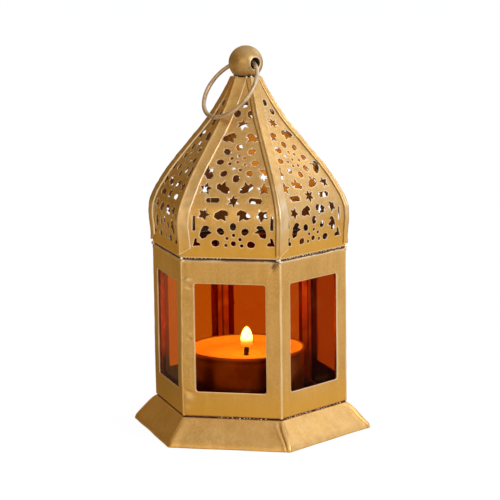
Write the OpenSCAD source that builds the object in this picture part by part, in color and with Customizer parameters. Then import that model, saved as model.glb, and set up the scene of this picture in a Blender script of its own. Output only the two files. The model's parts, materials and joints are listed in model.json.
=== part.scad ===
// Six-sided sheet metal candle lantern with a pierced dome, coloured panes, a hinged rear door,
// a ball finial with a loose carrying ring, and a tealight standing inside.
// Millimetres. +Z is up, the origin is under the middle of the base, and the front face looks along -Y.

/* [Body] */
// Length of one side of the body, which is also the distance from its middle to a corner
body_side = 33; // [29:0.5:45]
// Height of the upright sheet sides
side_h = 52.2; // [48:0.1:80]
// Thickness of the metal sheet
sheet_t = 0.5; // [0.4:0.05:0.8]
// Width of sheet left beside each window
window_margin = 4.85; // [4.2:0.05:7]
// Height of sheet left under each window
window_sill = 8.2; // [5:0.1:12]
// Height of sheet left over each window
window_head = 8; // [5:0.1:12]
// Radius of the window corners
window_corner_r = 0.9; // [0.3:0.1:2]
// Width of the lips turned inwards along the top and bottom of each side
side_lip_w = 2.5; // [1.5:0.1:4]
// How far the seam plates stand back from the outside of the body
seam_recess = 0.3; // [0.1:0.05:0.4]

/* [Panes] */
// Thickness of the coloured glass
pane_t = 1.6; // [1:0.1:2]
// Thickness of the strips that hold the glass
channel_t = 0.4; // [0.3:0.05:0.6]
// How far a strip laps behind the glass
channel_lap = 1.8; // [1:0.1:2.5]
// Space between a strip and the body corner
channel_corner_gap = 0.25; // [0.15:0.05:0.5]
// Play between the edge of the glass and what holds it
pane_play = 0.15; // [0.05:0.05:0.4]

/* [Base] */
// Height of the flared skirt
skirt_h = 8.8; // [6:0.1:16]
// How far the foot of the skirt spreads past the body corners
skirt_spread = 7.64; // [3:0.1:14]
// Height of the upright edge round the foot
skirt_edge_h = 0.9; // [0.6:0.1:2]
// Width of the hem turned under the foot
hem_w = 3; // [1.5:0.1:5]
// Width of the ledge turned inwards at the top of the skirt
skirt_ledge_w = 4; // [2.5:0.1:8]
// Width of the seam ring under the dome
dome_ledge_w = 4.6; // [3.5:0.1:6]

/* [Dome] */
// Height of the dome from its seam ring to its open top
dome_h = 56.1; // [45:0.1:80]
// Width of the strip that each panel folds over its neighbour
fold_w = 3.7; // [2.5:0.1:5]
// Width of the raised crease on the panel's own side of the fold
crease_w = 1.6; // [0.8:0.1:3]
// Height at which the mitred end of a folded strip stops
mitre_h = 3; // [2:0.1:5]
// Height left bare under the tip of the mitre
mitre_foot = 0.8; // [0.4:0.1:1.5]

/* [Piercings] */
// Diameter of the small round holes
dot_d = 1.1; // [0.8:0.05:1.5]
// Diameter of the round hole in the middle of a rosette
eye_d = 1.6; // [1:0.05:2.2]
// Width of a petal hole
petal_w = 2.2; // [1.4:0.1:2.6]
// Length of a petal hole
petal_l = 2.6; // [1.6:0.1:3.2]
// Width of a bird-shaped hole
bird_w = 4.9; // [3:0.1:5.2]
// Distance across the points of a star hole
star_d = 4.3; // [3:0.1:4.8]
// Length of a bar hole
bar_l = 4.6; // [3:0.1:5]
// Height of a bar hole
bar_w = 1.7; // [1:0.1:2.2]
// Height of a slot beside a corner
slot_l = 4.3; // [3:0.1:5]
// Width of a slot beside a corner
slot_w = 0.9; // [0.6:0.1:1.2]
// Sideways shift of the front panel's piercings, which were cut off centre
front_shift = 1.2; // [0:0.1:1.5]

/* [Finial] */
// Diameter of the ball
ball_d = 11.4; // [8:0.1:12]
// Diameter of the hole across the ball
ball_bore_d = 3.8; // [3.7:0.1:5]
// How far the ball is let into the open top of the dome
ball_sink = 0.7; // [0.4:0.1:1]
// Height of the flat filed on the underside of the ball
ball_flat = 0.5; // [0.2:0.1:0.9]
// Thickness of the cap plate that closes the dome
cap_t = 1; // [0.6:0.1:2]
// Diameter of the stud that holds the ball
stud_d = 2.4; // [1.6:0.1:2.6]
// Length of the stud above the cap plate
stud_l = 2.4; // [1.5:0.1:2.6]
// Play between a turning or mating shaft and its hole, all round
fit_play = 0.05; // [0.02:0.01:0.1]

/* [Carrying ring] */
// Diameter of the ring along the middle of its wire
ring_d = 22.6; // [20:0.1:30]
// Diameter of the ring's wire
ring_wire_d = 1.5; // [1:0.1:1.8]
// Direction in which the ring lies, in degrees round from +X
ring_turn = 230; // [200:1:260]
// Gap between the resting ring and the dome
ring_rest_gap = 0.3; // [0.1:0.05:0.6]
// Gap where the two ends of the bent wire meet
ring_end_gap = 0.3; // [0.1:0.1:1]

/* [Door] */
// Running gap round the door
door_gap = 0.35; // [0.2:0.05:0.6]
// Length of one hinge
hinge_l = 9; // [7:0.1:12]
// Width of a hinge leaf on the sheet
hinge_leaf_w = 3.4; // [2.5:0.1:4]
// Thickness of a hinge leaf
hinge_leaf_t = 0.5; // [0.3:0.05:0.7]
// Outside diameter of a hinge knuckle
knuckle_d = 2.5; // [2:0.1:3.5]
// Gap between neighbouring knuckles
knuckle_gap = 0.15; // [0.1:0.05:0.3]
// Diameter of a hinge pin
pin_d = 1; // [0.8:0.1:1.4]
// Height of the hinge pins' heads
pin_head_h = 0.5; // [0.3:0.1:1]
// Diameter of the door's pull knob
knob_d = 2.6; // [2:0.1:3]
// Distance from the door corner to the middle of the knob
knob_inset = 3.4; // [3:0.1:4.2]

/* [Turn button] */
// Width of the button that holds the door shut
button_w = 3.4; // [2.4:0.1:3.8]
// Length of the button from its rivet to its tip
button_l = 7.6; // [6:0.1:9]
// Thickness of the button
button_t = 0.7; // [0.5:0.05:1]
// Distance from the body corner to the rivet
button_inset = 2.4; // [2:0.1:2.6]
// Gap under the button and under its rivet's head
button_gap = 0.1; // [0.05:0.05:0.2]
// Diameter of the rivet's shank
rivet_d = 1.6; // [1.2:0.1:2]
// Diameter of the rivet's head
rivet_head_d = 3; // [2.4:0.1:3.4]
// Height of the rivet's head
rivet_head_h = 0.5; // [0.3:0.1:0.8]

/* [Candle] */
// Outside diameter of the wall of the candle's cup
cup_d = 38.2; // [30:0.1:38.6]
// How far the rolled rim of the cup stands out past its wall
cup_rim_out = 0.6; // [0.3:0.05:0.8]
// Height of the cup
cup_h = 19; // [14:0.1:22]
// Thickness of the cup
cup_t = 0.4; // [0.2:0.05:0.6]
// Height of the rolled rim
cup_rim_h = 0.8; // [0.5:0.1:1.2]
// Depth of the wax below the rim
wax_drop = 2.8; // [0.3:0.1:6]
// Diameter of the wick
wick_d = 1.6; // [0.8:0.1:2]
// Length of wick above the wax
wick_out = 2.9; // [2:0.1:6]
// Diameter of the wick's metal foot
wick_foot_d = 12; // [8:0.5:16]
// Height of the wick foot's collar
wick_collar_h = 3; // [2:0.1:5]
// Gap between the candle's rim and the strips behind the front pane
candle_gap = 0.18; // [0.1:0.02:6]

/* [Hidden] */
$fn = 64;

// The body is six-sided, and a side spans this angle to each side of its own middle
SIDES = 6;
HALF = 180 / SIDES;
// Directions that the sides face, in degrees round from +X
FRONT = -90;
FRONT_RIGHT = FRONT + 2 * HALF;
REAR_RIGHT = FRONT + 4 * HALF;
REAR = FRONT + 6 * HALF;
REAR_LEFT = FRONT + 8 * HALF;
FRONT_LEFT = FRONT + 10 * HALF;

// Distance from the middle to a flat side, and heights of the seams
body_flat = body_side * cos(HALF);
floor_z = skirt_h;
side_z = floor_z + sheet_t;
seam_z = side_z + side_h;
dome_z = seam_z + sheet_t;
dome_top_z = dome_z + dome_h;
sheet_in = body_flat - sheet_t;
overrun = sheet_t;

// Glass and the strips beside it, measured from the middle of a side
pane_in = sheet_in - pane_t;
channel_in = pane_in - channel_t;
channel_edge = channel_in * tan(HALF) - channel_corner_gap;
pane_half = channel_edge - channel_t - pane_play;

// Outline of the dome, hand-set along its corner: share of the height, share of the body side
dome_outline_shares = [
    [0, 1], [0.085, 1.004], [0.19, 1.018], [0.27, 0.9955], [0.36, 0.916],
    [0.47, 0.787], [0.6, 0.602], [0.75, 0.39], [0.88, 0.253], [1, 0.148]
];
OUTLINE_STEPS = 4;

// A smooth curve through four neighbouring points, at share t between the middle two
function smooth_point(a, b, c, d, t) =
    (2 * b + (c - a) * t + (2 * a - 5 * b + 4 * c - d) * t * t
        + (3 * b - a - 3 * c + d) * t * t * t) / 2;
outline_last = len(dome_outline_shares) - 1;
outline_shares = concat(
    [for (i = [0 : outline_last - 1]) for (k = [0 : OUTLINE_STEPS - 1])
        smooth_point(
            dome_outline_shares[max(i - 1, 0)], dome_outline_shares[i],
            dome_outline_shares[i + 1], dome_outline_shares[min(i + 2, outline_last)],
            k / OUTLINE_STEPS)],
    [dome_outline_shares[outline_last]]);
// The same outline along the middle of a side: distance out and height
outline = [for (p = outline_shares) [p[1] * body_flat, dome_z + p[0] * dome_h]];
last = len(outline) - 1;

// Directions along and square to the outline at each of its points
function run(i) = outline[min(i + 1, last)] - outline[max(i - 1, 0)];
function square_out(i) = [run(i)[1], -run(i)[0]] / norm(run(i));
// The outline moved outwards by a distance, with its foot and top kept level
function moved(i, by) =
    let (p = outline[i] + by * square_out(i))
    i == 0 ? [p[0], outline[0][1]] : i == last ? [p[0], outline[last][1]] : p;
function moved_outline(by) = [for (i = [0 : last]) moved(i, by)];
function backwards(points) = [for (i = [len(points) - 1 : -1 : 0]) points[i]];

// Length of the outline up to each point, which places the piercings
function length_to(i) = i == 0 ? 0 : length_to(i - 1) + norm(outline[i] - outline[i - 1]);
lengths = [for (i = [0 : last]) length_to(i)];
panel_l = lengths[last];
out_by_length = [for (i = [0 : last]) [lengths[i], outline[i][0]]];
z_by_length = [for (i = [0 : last]) [lengths[i], outline[i][1]]];
out_by_z = [for (p = outline) [p[1], p[0]]];
function slope_at(v) =
    let (d = panel_l / last)
    atan2(lookup(v - d, out_by_length) - lookup(v + d, out_by_length),
        lookup(v + d, z_by_length) - lookup(v - d, z_by_length));

// Places of the piercings: heights as shares of the panel's length, reaches of the rosette rings
lower_v = 0.0764 * panel_l;
middle_v = 0.3 * panel_l;
upper_v = 0.515 * panel_l;
dot_ring_r = 0.083 * body_side;
petal_ring_r = 0.175 * body_side;
bird_ring_r = 0.293 * body_side;
star_ring_r = 0.411 * body_side;
bar_u = 0.21 * body_side;
slot_u = 0.389 * body_side;
slot_v = 0.183 * panel_l;
corner_hole_u = 0.37 * body_side;
corner_hole_v = 0.081 * panel_l;
oval_u = 0.068 * body_side;
oval_v = 0.8 * panel_l;
top_star_v = 0.737 * panel_l;
top_oval_v = 0.855 * panel_l;

// Outlines of the piercings, one unit across
bird_shares = [
    [-0.5, 0.1], [-0.36, 0.28], [-0.08, 0.34], [0.1, 0.34], [0.38, 0.28], [0.5, 0.08],
    [0.42, -0.14], [0.24, -0.06], [0.14, -0.42], [-0.04, -0.16], [-0.3, -0.14]
];
corner_hole_shares = [[-0.5, -0.4], [0.5, -0.4], [0.42, -0.05], [0.05, 0.05], [0.1, 0.6], [-0.2, 0.5]];
// Star's reach between its points, slant of a bar's ends, and depth of a cut
STAR_WAIST_SHARE = 0.48;
BAR_NOSE_SHARE = 0.333;
pierce_depth = 3 * sheet_t;
// Sine below which the lower rosette is left out, because the panel ends there
ROSETTE_CUT_SHARE = -0.3;

// Finial and ring
cap_top_z = dome_top_z - ball_sink;
ball_z = cap_top_z + ball_d / 2 - ball_flat;
ring_r = ring_d / 2;
wire_r = ring_wire_d / 2;
bore_turn = ring_turn + 90;
// The ring's arc is centred in the bore, so it stands in by half of its rise there
ring_offset = ring_r - (ring_r - sqrt(ring_r * ring_r - ball_d * ball_d / 4)) / 2;

// Distance from a point to the dome's skin, with a folded strip counted on it
function nearest_face(turn) = FRONT + 2 * HALF * round((turn - FRONT) / (2 * HALF));
function skin_gap(p) =
    let (turn = atan2(p[1], p[0]), reach = norm([p[0], p[1]]) * cos(turn - nearest_face(turn)))
    (reach - lookup(p[2], out_by_z)) * cos(DOME_SLOPE) - sheet_t;
// Steepness of the dome where the ring touches it
DOME_SLOPE = 32;
RING_STEPS = 72;
// Places along the ring's wire when it leans by an angle from hanging straight down
function ring_point(lean, a) =
    let (along = ring_r * sin(a), down = ring_offset - ring_r * cos(a))
    [along * cos(bore_turn) + down * sin(lean) * cos(ring_turn),
        along * sin(bore_turn) + down * sin(lean) * sin(ring_turn),
        ball_z - down * cos(lean)];
function ring_clearance(lean) =
    min([for (k = [1 : RING_STEPS - 1])
        let (p = ring_point(lean, 360 * k / RING_STEPS))
        if (p[2] < dome_top_z) skin_gap(p)]) - wire_r;
// The lean at which the ring comes to rest on the dome, found by halving between two leans
LEAN_HALVINGS = 12;
LEAST_LEAN = 20;
MOST_LEAN = 85;
function rest_lean(low, high, turns) =
    turns == 0 ? high
        : let (mid = (low + high) / 2)
            ring_clearance(mid) > ring_rest_gap ? rest_lean(low, mid, turns - 1)
                : rest_lean(mid, high, turns - 1);
ring_lean = rest_lean(LEAST_LEAN, MOST_LEAN, LEAN_HALVINGS);

// Door hinge, at the rear right corner: its pin stands clear of both sides
knuckle_r = knuckle_d / 2;
pin_r = pin_d / 2;
knuckle_bore_r = pin_r + fit_play;
hinge_out = body_flat + knuckle_r + knuckle_gap;
hinge_u = hinge_out * tan(HALF);
leaf_start = hinge_u - knuckle_r - knuckle_gap;
knuckle_l = (hinge_l - 2 * knuckle_gap) / 3;
HINGE_END_SHARE = 0.16;
hinge_low_z = side_z + HINGE_END_SHARE * side_h;
hinge_high_z = seam_z - HINGE_END_SHARE * side_h - hinge_l;

// Button and knob, at the rear left corner
button_u = body_side / 2 - button_inset;
button_z = side_z + side_h / 2;
button_out = body_flat + button_gap;
KNOB_NECK_SHARE = 0.6;
// The knob stands just low enough for the turned button to pass over it
knob_u = body_side / 2 - knob_inset;
knob_h = 2 * (body_flat + button_gap - (knob_u + knob_d / 2) * cos(HALF)) - body_flat - 2 * button_gap;

// Turns a shape drawn for a side that looks along +X to face a direction
module facing(turn) {
    rotate([0, 0, turn]) children();
}

// A six-sided plate whose flats are a distance from the middle
module six_sided(flat) {
    circle(r = flat / cos(HALF), $fn = SIDES);
}

// A rectangle with round corners, standing from a corner point
module round_rectangle(w, h, r) {
    translate([r, 0]) square([w - 2 * r, h]);
    translate([0, r]) square([w, h - 2 * r]);
    for (x = [r, w - r]) for (y = [r, h - r]) translate([x, y]) circle(r = r);
}

// Stands a flat shape up on a side: drawn X runs along the side, drawn Y up, thickness outwards
module stand(out) {
    translate([out, 0, 0]) rotate([90, 0, 90]) children();
}

// A length of bent sheet: the section is drawn as distance out and height, and is cut to the
// corners of the body, less a gap
module bent_strip(half_w, gap) {
    intersection() {
        rotate([90, 0, 0]) linear_extrude(height = 2 * half_w, center = true) children();
        translate([gap / sin(HALF), 0, 0]) corner_wedge(half_w);
    }
}

// The sixth of the lantern that belongs to one side
module corner_wedge(half_w) {
    far = half_w / tan(HALF);
    linear_extrude(height = dome_top_z + ball_d)
        polygon([[0, 0], [far, -half_w], [far, half_w]]);
}

// A solid whose six sides all have one profile, given from its foot up as distance out and height
module six_sided_solid(profile) {
    both_sides = concat(profile, [for (p = backwards(profile)) [-p[0], p[1]]]);
    width = 4 * (body_side + skirt_spread);
    intersection() {
        facing(FRONT) rotate([90, 0, 0]) linear_extrude(height = width, center = true)
            polygon(both_sides);
        facing(FRONT_RIGHT) rotate([90, 0, 0]) linear_extrude(height = width, center = true)
            polygon(both_sides);
        facing(REAR_RIGHT) rotate([90, 0, 0]) linear_extrude(height = width, center = true)
            polygon(both_sides);
    }
}

// Flared skirt with a ledge above and a hem below
skirt_flat = (body_side + skirt_spread) * cos(HALF);
skirt_rise = skirt_h - skirt_edge_h;
skirt_run = skirt_flat - body_flat;
// Width of the sloping sheet when it is measured level
skirt_wall = sheet_t * norm([skirt_rise, skirt_run]) / skirt_rise;
skirt_in = skirt_flat - skirt_wall;
ledge_in = body_flat - skirt_ledge_w;

module base_skirt() {
    color("darkgoldenrod") difference() {
        six_sided_solid([[skirt_flat, 0], [skirt_flat, skirt_edge_h], [body_flat, skirt_h]]);
        six_sided_solid([
            [skirt_flat - hem_w, -overrun], [skirt_flat - hem_w, sheet_t],
            [skirt_in, sheet_t], [skirt_in, skirt_edge_h],
            [skirt_in - skirt_run + sheet_t * skirt_run / skirt_rise, skirt_h - sheet_t],
            [ledge_in, skirt_h - sheet_t], [ledge_in, skirt_h + overrun]
        ]);
    }
}

// Plate that closes the base and carries the sides and the candle
module floor_plate() {
    color("goldenrod") translate([0, 0, floor_z])
        linear_extrude(height = sheet_t) six_sided(body_flat - seam_recess);
}

// Upright sheet side with a window and two lips; a gap makes it smaller all round for the door
module sheet_side(gap) {
    low = side_z + gap;
    high = seam_z - gap;
    half_w = body_side / 2;
    window_w = body_side - 2 * window_margin;
    difference() {
        bent_strip(body_side, gap) polygon([
            [body_flat - side_lip_w, low], [body_flat, low], [body_flat, high],
            [body_flat - side_lip_w, high], [body_flat - side_lip_w, high - sheet_t],
            [sheet_in, high - sheet_t], [sheet_in, low + sheet_t],
            [body_flat - side_lip_w, low + sheet_t]
        ]);
        stand(sheet_in - overrun) translate([window_margin - half_w, side_z + window_sill])
            linear_extrude(height = sheet_t + 2 * overrun)
            round_rectangle(window_w, side_h - window_sill - window_head, window_corner_r);
    }
}

module side(turn) {
    color("goldenrod") facing(turn) sheet_side(0);
}

// The side that carries the turn button has a hole for its rivet
module side_rear_left() {
    color("goldenrod") facing(REAR_LEFT) difference() {
        sheet_side(0);
        stand(sheet_in - overrun) translate([-button_u, button_z])
            linear_extrude(height = sheet_t + 2 * overrun) circle(d = rivet_d);
    }
}

// Glass pane standing on the lower lip, against the inside of the sheet
module pane_of(turn, gap) {
    low = side_z + gap + sheet_t;
    high = seam_z - gap - sheet_t - pane_play;
    color([0.78, 0.33, 0.04, 0.6]) facing(turn) translate([pane_in, -pane_half, low])
        cube([pane_t, 2 * pane_half, high - low]);
}

// Pair of bent strips soldered beside the glass and lapped behind it
module channels_of(turn, gap) {
    low = side_z + gap + sheet_t;
    high = seam_z - gap - sheet_t - pane_play;
    color("peru") facing(turn) translate([0, 0, low]) linear_extrude(height = high - low)
        for (way = [-1, 1]) on_side(way) polygon([
            [sheet_in, channel_edge], [sheet_in, channel_edge - channel_t],
            [pane_in, channel_edge - channel_t], [pane_in, channel_edge - channel_lap],
            [channel_in, channel_edge - channel_lap], [channel_in, channel_edge]
        ]);
}

// Keeps a flat shape above its middle line, or turns it over to the other side
module on_side(way) {
    if (way > 0) children();
    else mirror([0, 1]) children();
}

// Seam ring between the sides and the dome
module dome_seam_ring() {
    color("goldenrod") translate([0, 0, seam_z]) linear_extrude(height = sheet_t) difference() {
        six_sided(body_flat - seam_recess);
        six_sided(body_flat - dome_ledge_w);
    }
}

// Piercings, drawn flat with their middle at the origin
module star(points, d) {
    polygon([for (i = [0 : 2 * points - 1])
        let (r = d / 2 * (i % 2 == 0 ? 1 : STAR_WAIST_SHARE), a = 90 + 180 * i / points)
        [r * cos(a), r * sin(a)]]);
}

module petal() {
    polygon([for (i = [0 : 7]) [petal_w / 2 * sin(45 * i), petal_l / 2 * cos(45 * i)]]);
}

module bird() {
    polygon(bird_w * bird_shares);
}

module bar() {
    nose = BAR_NOSE_SHARE * bar_w;
    polygon([
        [-bar_l / 2, 0], [nose - bar_l / 2, bar_w / 2], [bar_l / 2 - nose, bar_w / 2],
        [bar_l / 2, 0], [bar_l / 2 - nose, -bar_w / 2], [nose - bar_l / 2, -bar_w / 2]
    ]);
}

// Cuts one piercing through the sheet at a place across and along the panel
module pierce(u, v, spin = 0) {
    translate([lookup(v, out_by_length), u, lookup(v, z_by_length)])
        rotate([0, -slope_at(v), 0]) rotate([90, 0, 90]) rotate([0, 0, spin])
        translate([0, 0, -pierce_depth]) linear_extrude(height = 2 * pierce_depth) children();
}

// A ring of piercings about the middle of a rosette, on the panel's middle line
module around(v, r, turns) {
    for (a = turns) pierce(r * cos(a), v + r * sin(a), a - 90) children();
}

// Turns in degrees at which a rosette's pieces stand, counted from the panel's right
DOT_TURNS = [for (i = [0 : 6]) 90 + 360 * i / 7];
PETAL_TURNS = [for (i = [0 : 7]) 45 * i];
BIRD_TURNS = [22.5, 67.5, 112.5, 157.5];
function above(turns) = [for (a = turns) if (sin(a) > ROSETTE_CUT_SHARE) a];

module piercings() {
    pierce(0, lower_v) circle(d = eye_d);
    around(lower_v, dot_ring_r, above(DOT_TURNS)) circle(d = dot_d);
    around(lower_v, petal_ring_r, above(PETAL_TURNS)) petal();
    around(lower_v, bird_ring_r, [for (a = BIRD_TURNS) if (a > 90) a]) bird();
    around(lower_v, bird_ring_r, [for (a = BIRD_TURNS) if (a < 90) a]) mirror([1, 0]) bird();
    around(lower_v, star_ring_r, [45, 135]) star(5, star_d);
    pierce(0, upper_v) circle(d = dot_d);
    around(upper_v, dot_ring_r, DOT_TURNS) circle(d = dot_d);
    around(upper_v, petal_ring_r, PETAL_TURNS) petal();
    around(upper_v, bird_ring_r, [112.5, 202.5, 247.5]) bird();
    around(upper_v, bird_ring_r, [67.5, -22.5, -67.5]) mirror([1, 0]) bird();
    around(upper_v, star_ring_r, [-45, -135]) star(5, star_d);
    pierce(0, middle_v) star(6, star_d);
    for (way = [-1, 1]) {
        pierce(way * bar_u, middle_v) bar();
        pierce(way * slot_u, slot_v) square([slot_w, slot_l], center = true);
        pierce(way * oval_u, oval_v) petal();
    }
    pierce(-corner_hole_u, corner_hole_v) polygon(petal_l * corner_hole_shares);
    pierce(corner_hole_u, corner_hole_v) mirror([1, 0]) polygon(petal_l * corner_hole_shares);
    pierce(0, top_star_v) star(6, star_d);
    pierce(0, top_oval_v) petal();
}

// A layer of the dome along one side, between two distances from the outline
module dome_layer(inner, outer) {
    rotate([90, 0, 0]) linear_extrude(height = 2 * body_side, center = true)
        polygon(concat(moved_outline(outer), backwards(moved_outline(inner))));
}

// An upright slab beside a corner of the panel, from one distance to another past the corner
module beside_corner(from, to) {
    rotate([0, 0, HALF]) translate([0, from, dome_z - overrun])
        cube([2 * body_side, to - from, dome_h + 2 * overrun]);
}

// One pierced panel of the dome, folded over its neighbour along the corner
module dome_panel(turn, shift) {
    color("goldenrod") facing(turn) {
        difference() {
            union() {
                intersection() {
                    dome_layer(-sheet_t, 0);
                    corner_wedge(2 * body_side);
                }
                intersection() {
                    dome_layer(-sheet_t / 2, sheet_t);
                    corner_wedge(2 * body_side);
                    beside_corner(-crease_w, 0);
                    translate([0, 0, dome_z + mitre_foot])
                        cube([2 * body_side, body_side, dome_h]);
                }
                folded_strip();
            }
            translate([0, shift, 0]) piercings();
        }
    }
}

// The strip past the corner, lying on the outside of the next panel, with a mitred lower end
module folded_strip() {
    fold_run = fold_w * cos(HALF);
    difference() {
        intersection() {
            rotate([0, 0, 2 * HALF]) dome_layer(0, sheet_t);
            beside_corner(0, fold_run);
            rotate([0, 0, 2 * HALF]) corner_wedge(2 * body_side);
        }
        rotate([0, 0, 2 * HALF]) stand(body_flat - body_side / 2)
            translate([-body_side / 2, dome_z - overrun])
            linear_extrude(height = body_side) polygon([
                [-overrun, 0], [fold_w + 2 * overrun, 0],
                [fold_w + 2 * overrun, mitre_h + 2 * overrun],
                [fold_w, mitre_h + overrun], [0, mitre_foot + overrun],
                [-overrun, mitre_foot + overrun]
            ]);
    }
}

// Plate inside the top of the dome, with the stud that holds the ball
module dome_cap() {
    cap_flat = lookup(cap_top_z, out_by_z) - sheet_t / cos(DOME_SLOPE);
    color("goldenrod") {
        translate([0, 0, cap_top_z - cap_t]) linear_extrude(height = cap_t) six_sided(cap_flat);
        translate([0, 0, cap_top_z - cap_t]) cylinder(d = stud_d, h = cap_t + stud_l);
    }
}

// Ball with a flat foot, a blind hole for the stud and a hole across for the ring
module finial_ball() {
    color("darkgoldenrod") difference() {
        translate([0, 0, ball_z]) sphere(d = ball_d);
        translate([-ball_d, -ball_d, cap_top_z - ball_d]) cube([2 * ball_d, 2 * ball_d, ball_d]);
        translate([0, 0, cap_top_z - overrun])
            cylinder(d = stud_d + 2 * fit_play, h = stud_l + fit_play + overrun);
        translate([0, 0, ball_z]) rotate([0, 0, bore_turn]) rotate([0, 90, 0])
            cylinder(d = ball_bore_d, h = 2 * ball_d, center = true);
    }
}

// Bent wire ring through the ball, leaning on the dome, with its split away from the ball
split_angle = ring_end_gap / ring_r * 180 / PI;
module carrying_ring() {
    color("tan") translate([0, 0, ball_z]) rotate([0, 0, bore_turn]) rotate([-ring_lean, 0, 0])
        translate([0, 0, -ring_offset]) rotate([90, 0, 0])
        rotate([0, 0, split_angle / 2 - 90]) rotate_extrude(angle = 360 - split_angle)
        translate([ring_r, 0]) circle(r = wire_r);
}

module door_frame() {
    color("goldenrod") facing(REAR) sheet_side(door_gap);
}

// Turned pull knob soldered to the free edge of the door
module door_knob() {
    neck_h = knob_h - knob_d / 2;
    color("darkgoldenrod") facing(REAR) translate([body_flat, knob_u, button_z])
        rotate([0, 90, 0]) {
            cylinder(d = KNOB_NECK_SHARE * knob_d, h = neck_h);
            translate([0, 0, neck_h]) cylinder(d = knob_d, h = knob_d / 2);
        }
}

// Leaf and knuckles of one hinge; kept is true for each of the three knuckles that it has
module hinge_half(kept) {
    difference() {
        union() {
            translate([body_flat, leaf_start - hinge_leaf_w, 0])
                cube([hinge_leaf_t, hinge_leaf_w, hinge_l]);
            for (i = [0 : 2]) if (kept[i]) translate([0, 0, i * (knuckle_l + knuckle_gap)]) {
                translate([body_flat, leaf_start - overrun, 0])
                    cube([hinge_leaf_t, hinge_u - leaf_start + overrun, knuckle_l]);
                translate([hinge_out, hinge_u, 0]) cylinder(r = knuckle_r, h = knuckle_l);
            }
        }
        translate([hinge_out, hinge_u, -overrun])
            cylinder(r = knuckle_bore_r, h = hinge_l + 2 * overrun);
    }
}

module at_hinges() {
    for (z = [hinge_low_z, hinge_high_z]) translate([0, 0, z]) children();
}

module hinge_leaves_door() {
    color("peru") at_hinges() facing(REAR) mirror([0, 1, 0]) hinge_half([false, true, false]);
}

module hinge_leaves_body() {
    color("peru") at_hinges() facing(REAR_RIGHT) hinge_half([true, false, true]);
}

module hinge_pins() {
    color("tan") at_hinges() facing(REAR_RIGHT) translate([hinge_out, hinge_u, 0]) {
        cylinder(r = pin_r, h = hinge_l + pin_head_h / 2);
        translate([0, 0, hinge_l]) cylinder(r = (pin_r + knuckle_r) / 2, h = pin_head_h);
    }
}

// Flat button beside the door, stored upright; turned towards the door it passes over the knob
module turn_button() {
    color("peru") facing(REAR_LEFT) stand(button_out) translate([-button_u, button_z])
        linear_extrude(height = button_t) difference() {
            union() {
                circle(d = button_w);
                translate([0, button_l - button_w / 2]) circle(d = button_w);
                translate([-button_w / 2, 0]) square([button_w, button_l - button_w / 2]);
            }
            circle(d = rivet_d + 2 * fit_play);
        }
}

module button_rivet() {
    head_out = button_out + button_t + button_gap;
    color("tan") facing(REAR_LEFT) {
        stand(sheet_in) translate([-button_u, button_z])
            cylinder(d = rivet_d, h = head_out - sheet_in + rivet_head_h / 2);
        stand(head_out) translate([-button_u, button_z])
            cylinder(d = rivet_head_d, h = rivet_head_h);
    }
}

// Candle, which stands forward of the middle
candle_forward = channel_in - cup_d / 2 - cup_rim_out - candle_gap;
module candle_at(z) {
    translate([0, -candle_forward, side_z + z]) children();
}

module candle_cup() {
    rim_z = cup_h - cup_rim_h;
    rim_r = cup_d / 2 + cup_rim_out;
    inner_r = cup_d / 2 - cup_t;
    color("silver") candle_at(0) rotate_extrude() polygon([
        [0, 0], [cup_d / 2, 0], [cup_d / 2, rim_z], [rim_r, rim_z],
        [rim_r, cup_h], [inner_r, cup_h], [inner_r, cup_t], [0, cup_t]
    ]);
}

foot_plate_t = cup_t;
foot_collar_r = wick_d / 2 + cup_t;
module candle_wax() {
    wax_top = cup_h - wax_drop;
    color("ivory") difference() {
        candle_at(cup_t) cylinder(r = cup_d / 2 - cup_t, h = wax_top - cup_t);
        candle_at(cup_t - overrun) cylinder(d = wick_foot_d, h = foot_plate_t + overrun);
        candle_at(cup_t) cylinder(r = foot_collar_r, h = wick_collar_h);
        candle_at(cup_t) cylinder(d = wick_d, h = cup_h);
    }
}

module candle_wick() {
    color("dimgray") candle_at(cup_t + foot_plate_t)
        cylinder(d = wick_d, h = cup_h - wax_drop + wick_out - cup_t - foot_plate_t);
}

// Thin metal foot that keeps the wick upright in the cup
module wick_foot() {
    color("gainsboro") difference() {
        union() {
            candle_at(cup_t) cylinder(d = wick_foot_d, h = foot_plate_t);
            candle_at(cup_t) cylinder(r = foot_collar_r, h = wick_collar_h);
        }
        candle_at(cup_t + foot_plate_t) cylinder(d = wick_d, h = wick_collar_h);
    }
}

echo(ring_lean = ring_lean, ball_z = ball_z, hinge_out = hinge_out, hinge_u = hinge_u, knob_h = knob_h,
    channel_in = channel_in, button_u = button_u, button_z = button_z, panel_l = panel_l);

base_skirt();
floor_plate();
side(FRONT);  // side_front
side(FRONT_RIGHT);  // side_front_right
side(REAR_RIGHT);  // side_rear_right
side_rear_left();
side(FRONT_LEFT);  // side_front_left
pane_of(FRONT, 0);  // pane_front
pane_of(FRONT_RIGHT, 0);  // pane_front_right
pane_of(REAR_RIGHT, 0);  // pane_rear_right
pane_of(REAR_LEFT, 0);  // pane_rear_left
pane_of(FRONT_LEFT, 0);  // pane_front_left
channels_of(FRONT, 0);  // channels_front
channels_of(FRONT_RIGHT, 0);  // channels_front_right
channels_of(REAR_RIGHT, 0);  // channels_rear_right
channels_of(REAR_LEFT, 0);  // channels_rear_left
channels_of(FRONT_LEFT, 0);  // channels_front_left
dome_seam_ring();
dome_panel(FRONT, front_shift);  // dome_panel_front
dome_panel(FRONT_RIGHT, 0);  // dome_panel_front_right
dome_panel(REAR_RIGHT, 0);  // dome_panel_rear_right
dome_panel(REAR, 0);  // dome_panel_rear
dome_panel(REAR_LEFT, 0);  // dome_panel_rear_left
dome_panel(FRONT_LEFT, 0);  // dome_panel_front_left
dome_cap();
finial_ball();
carrying_ring();
door_frame();
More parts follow.
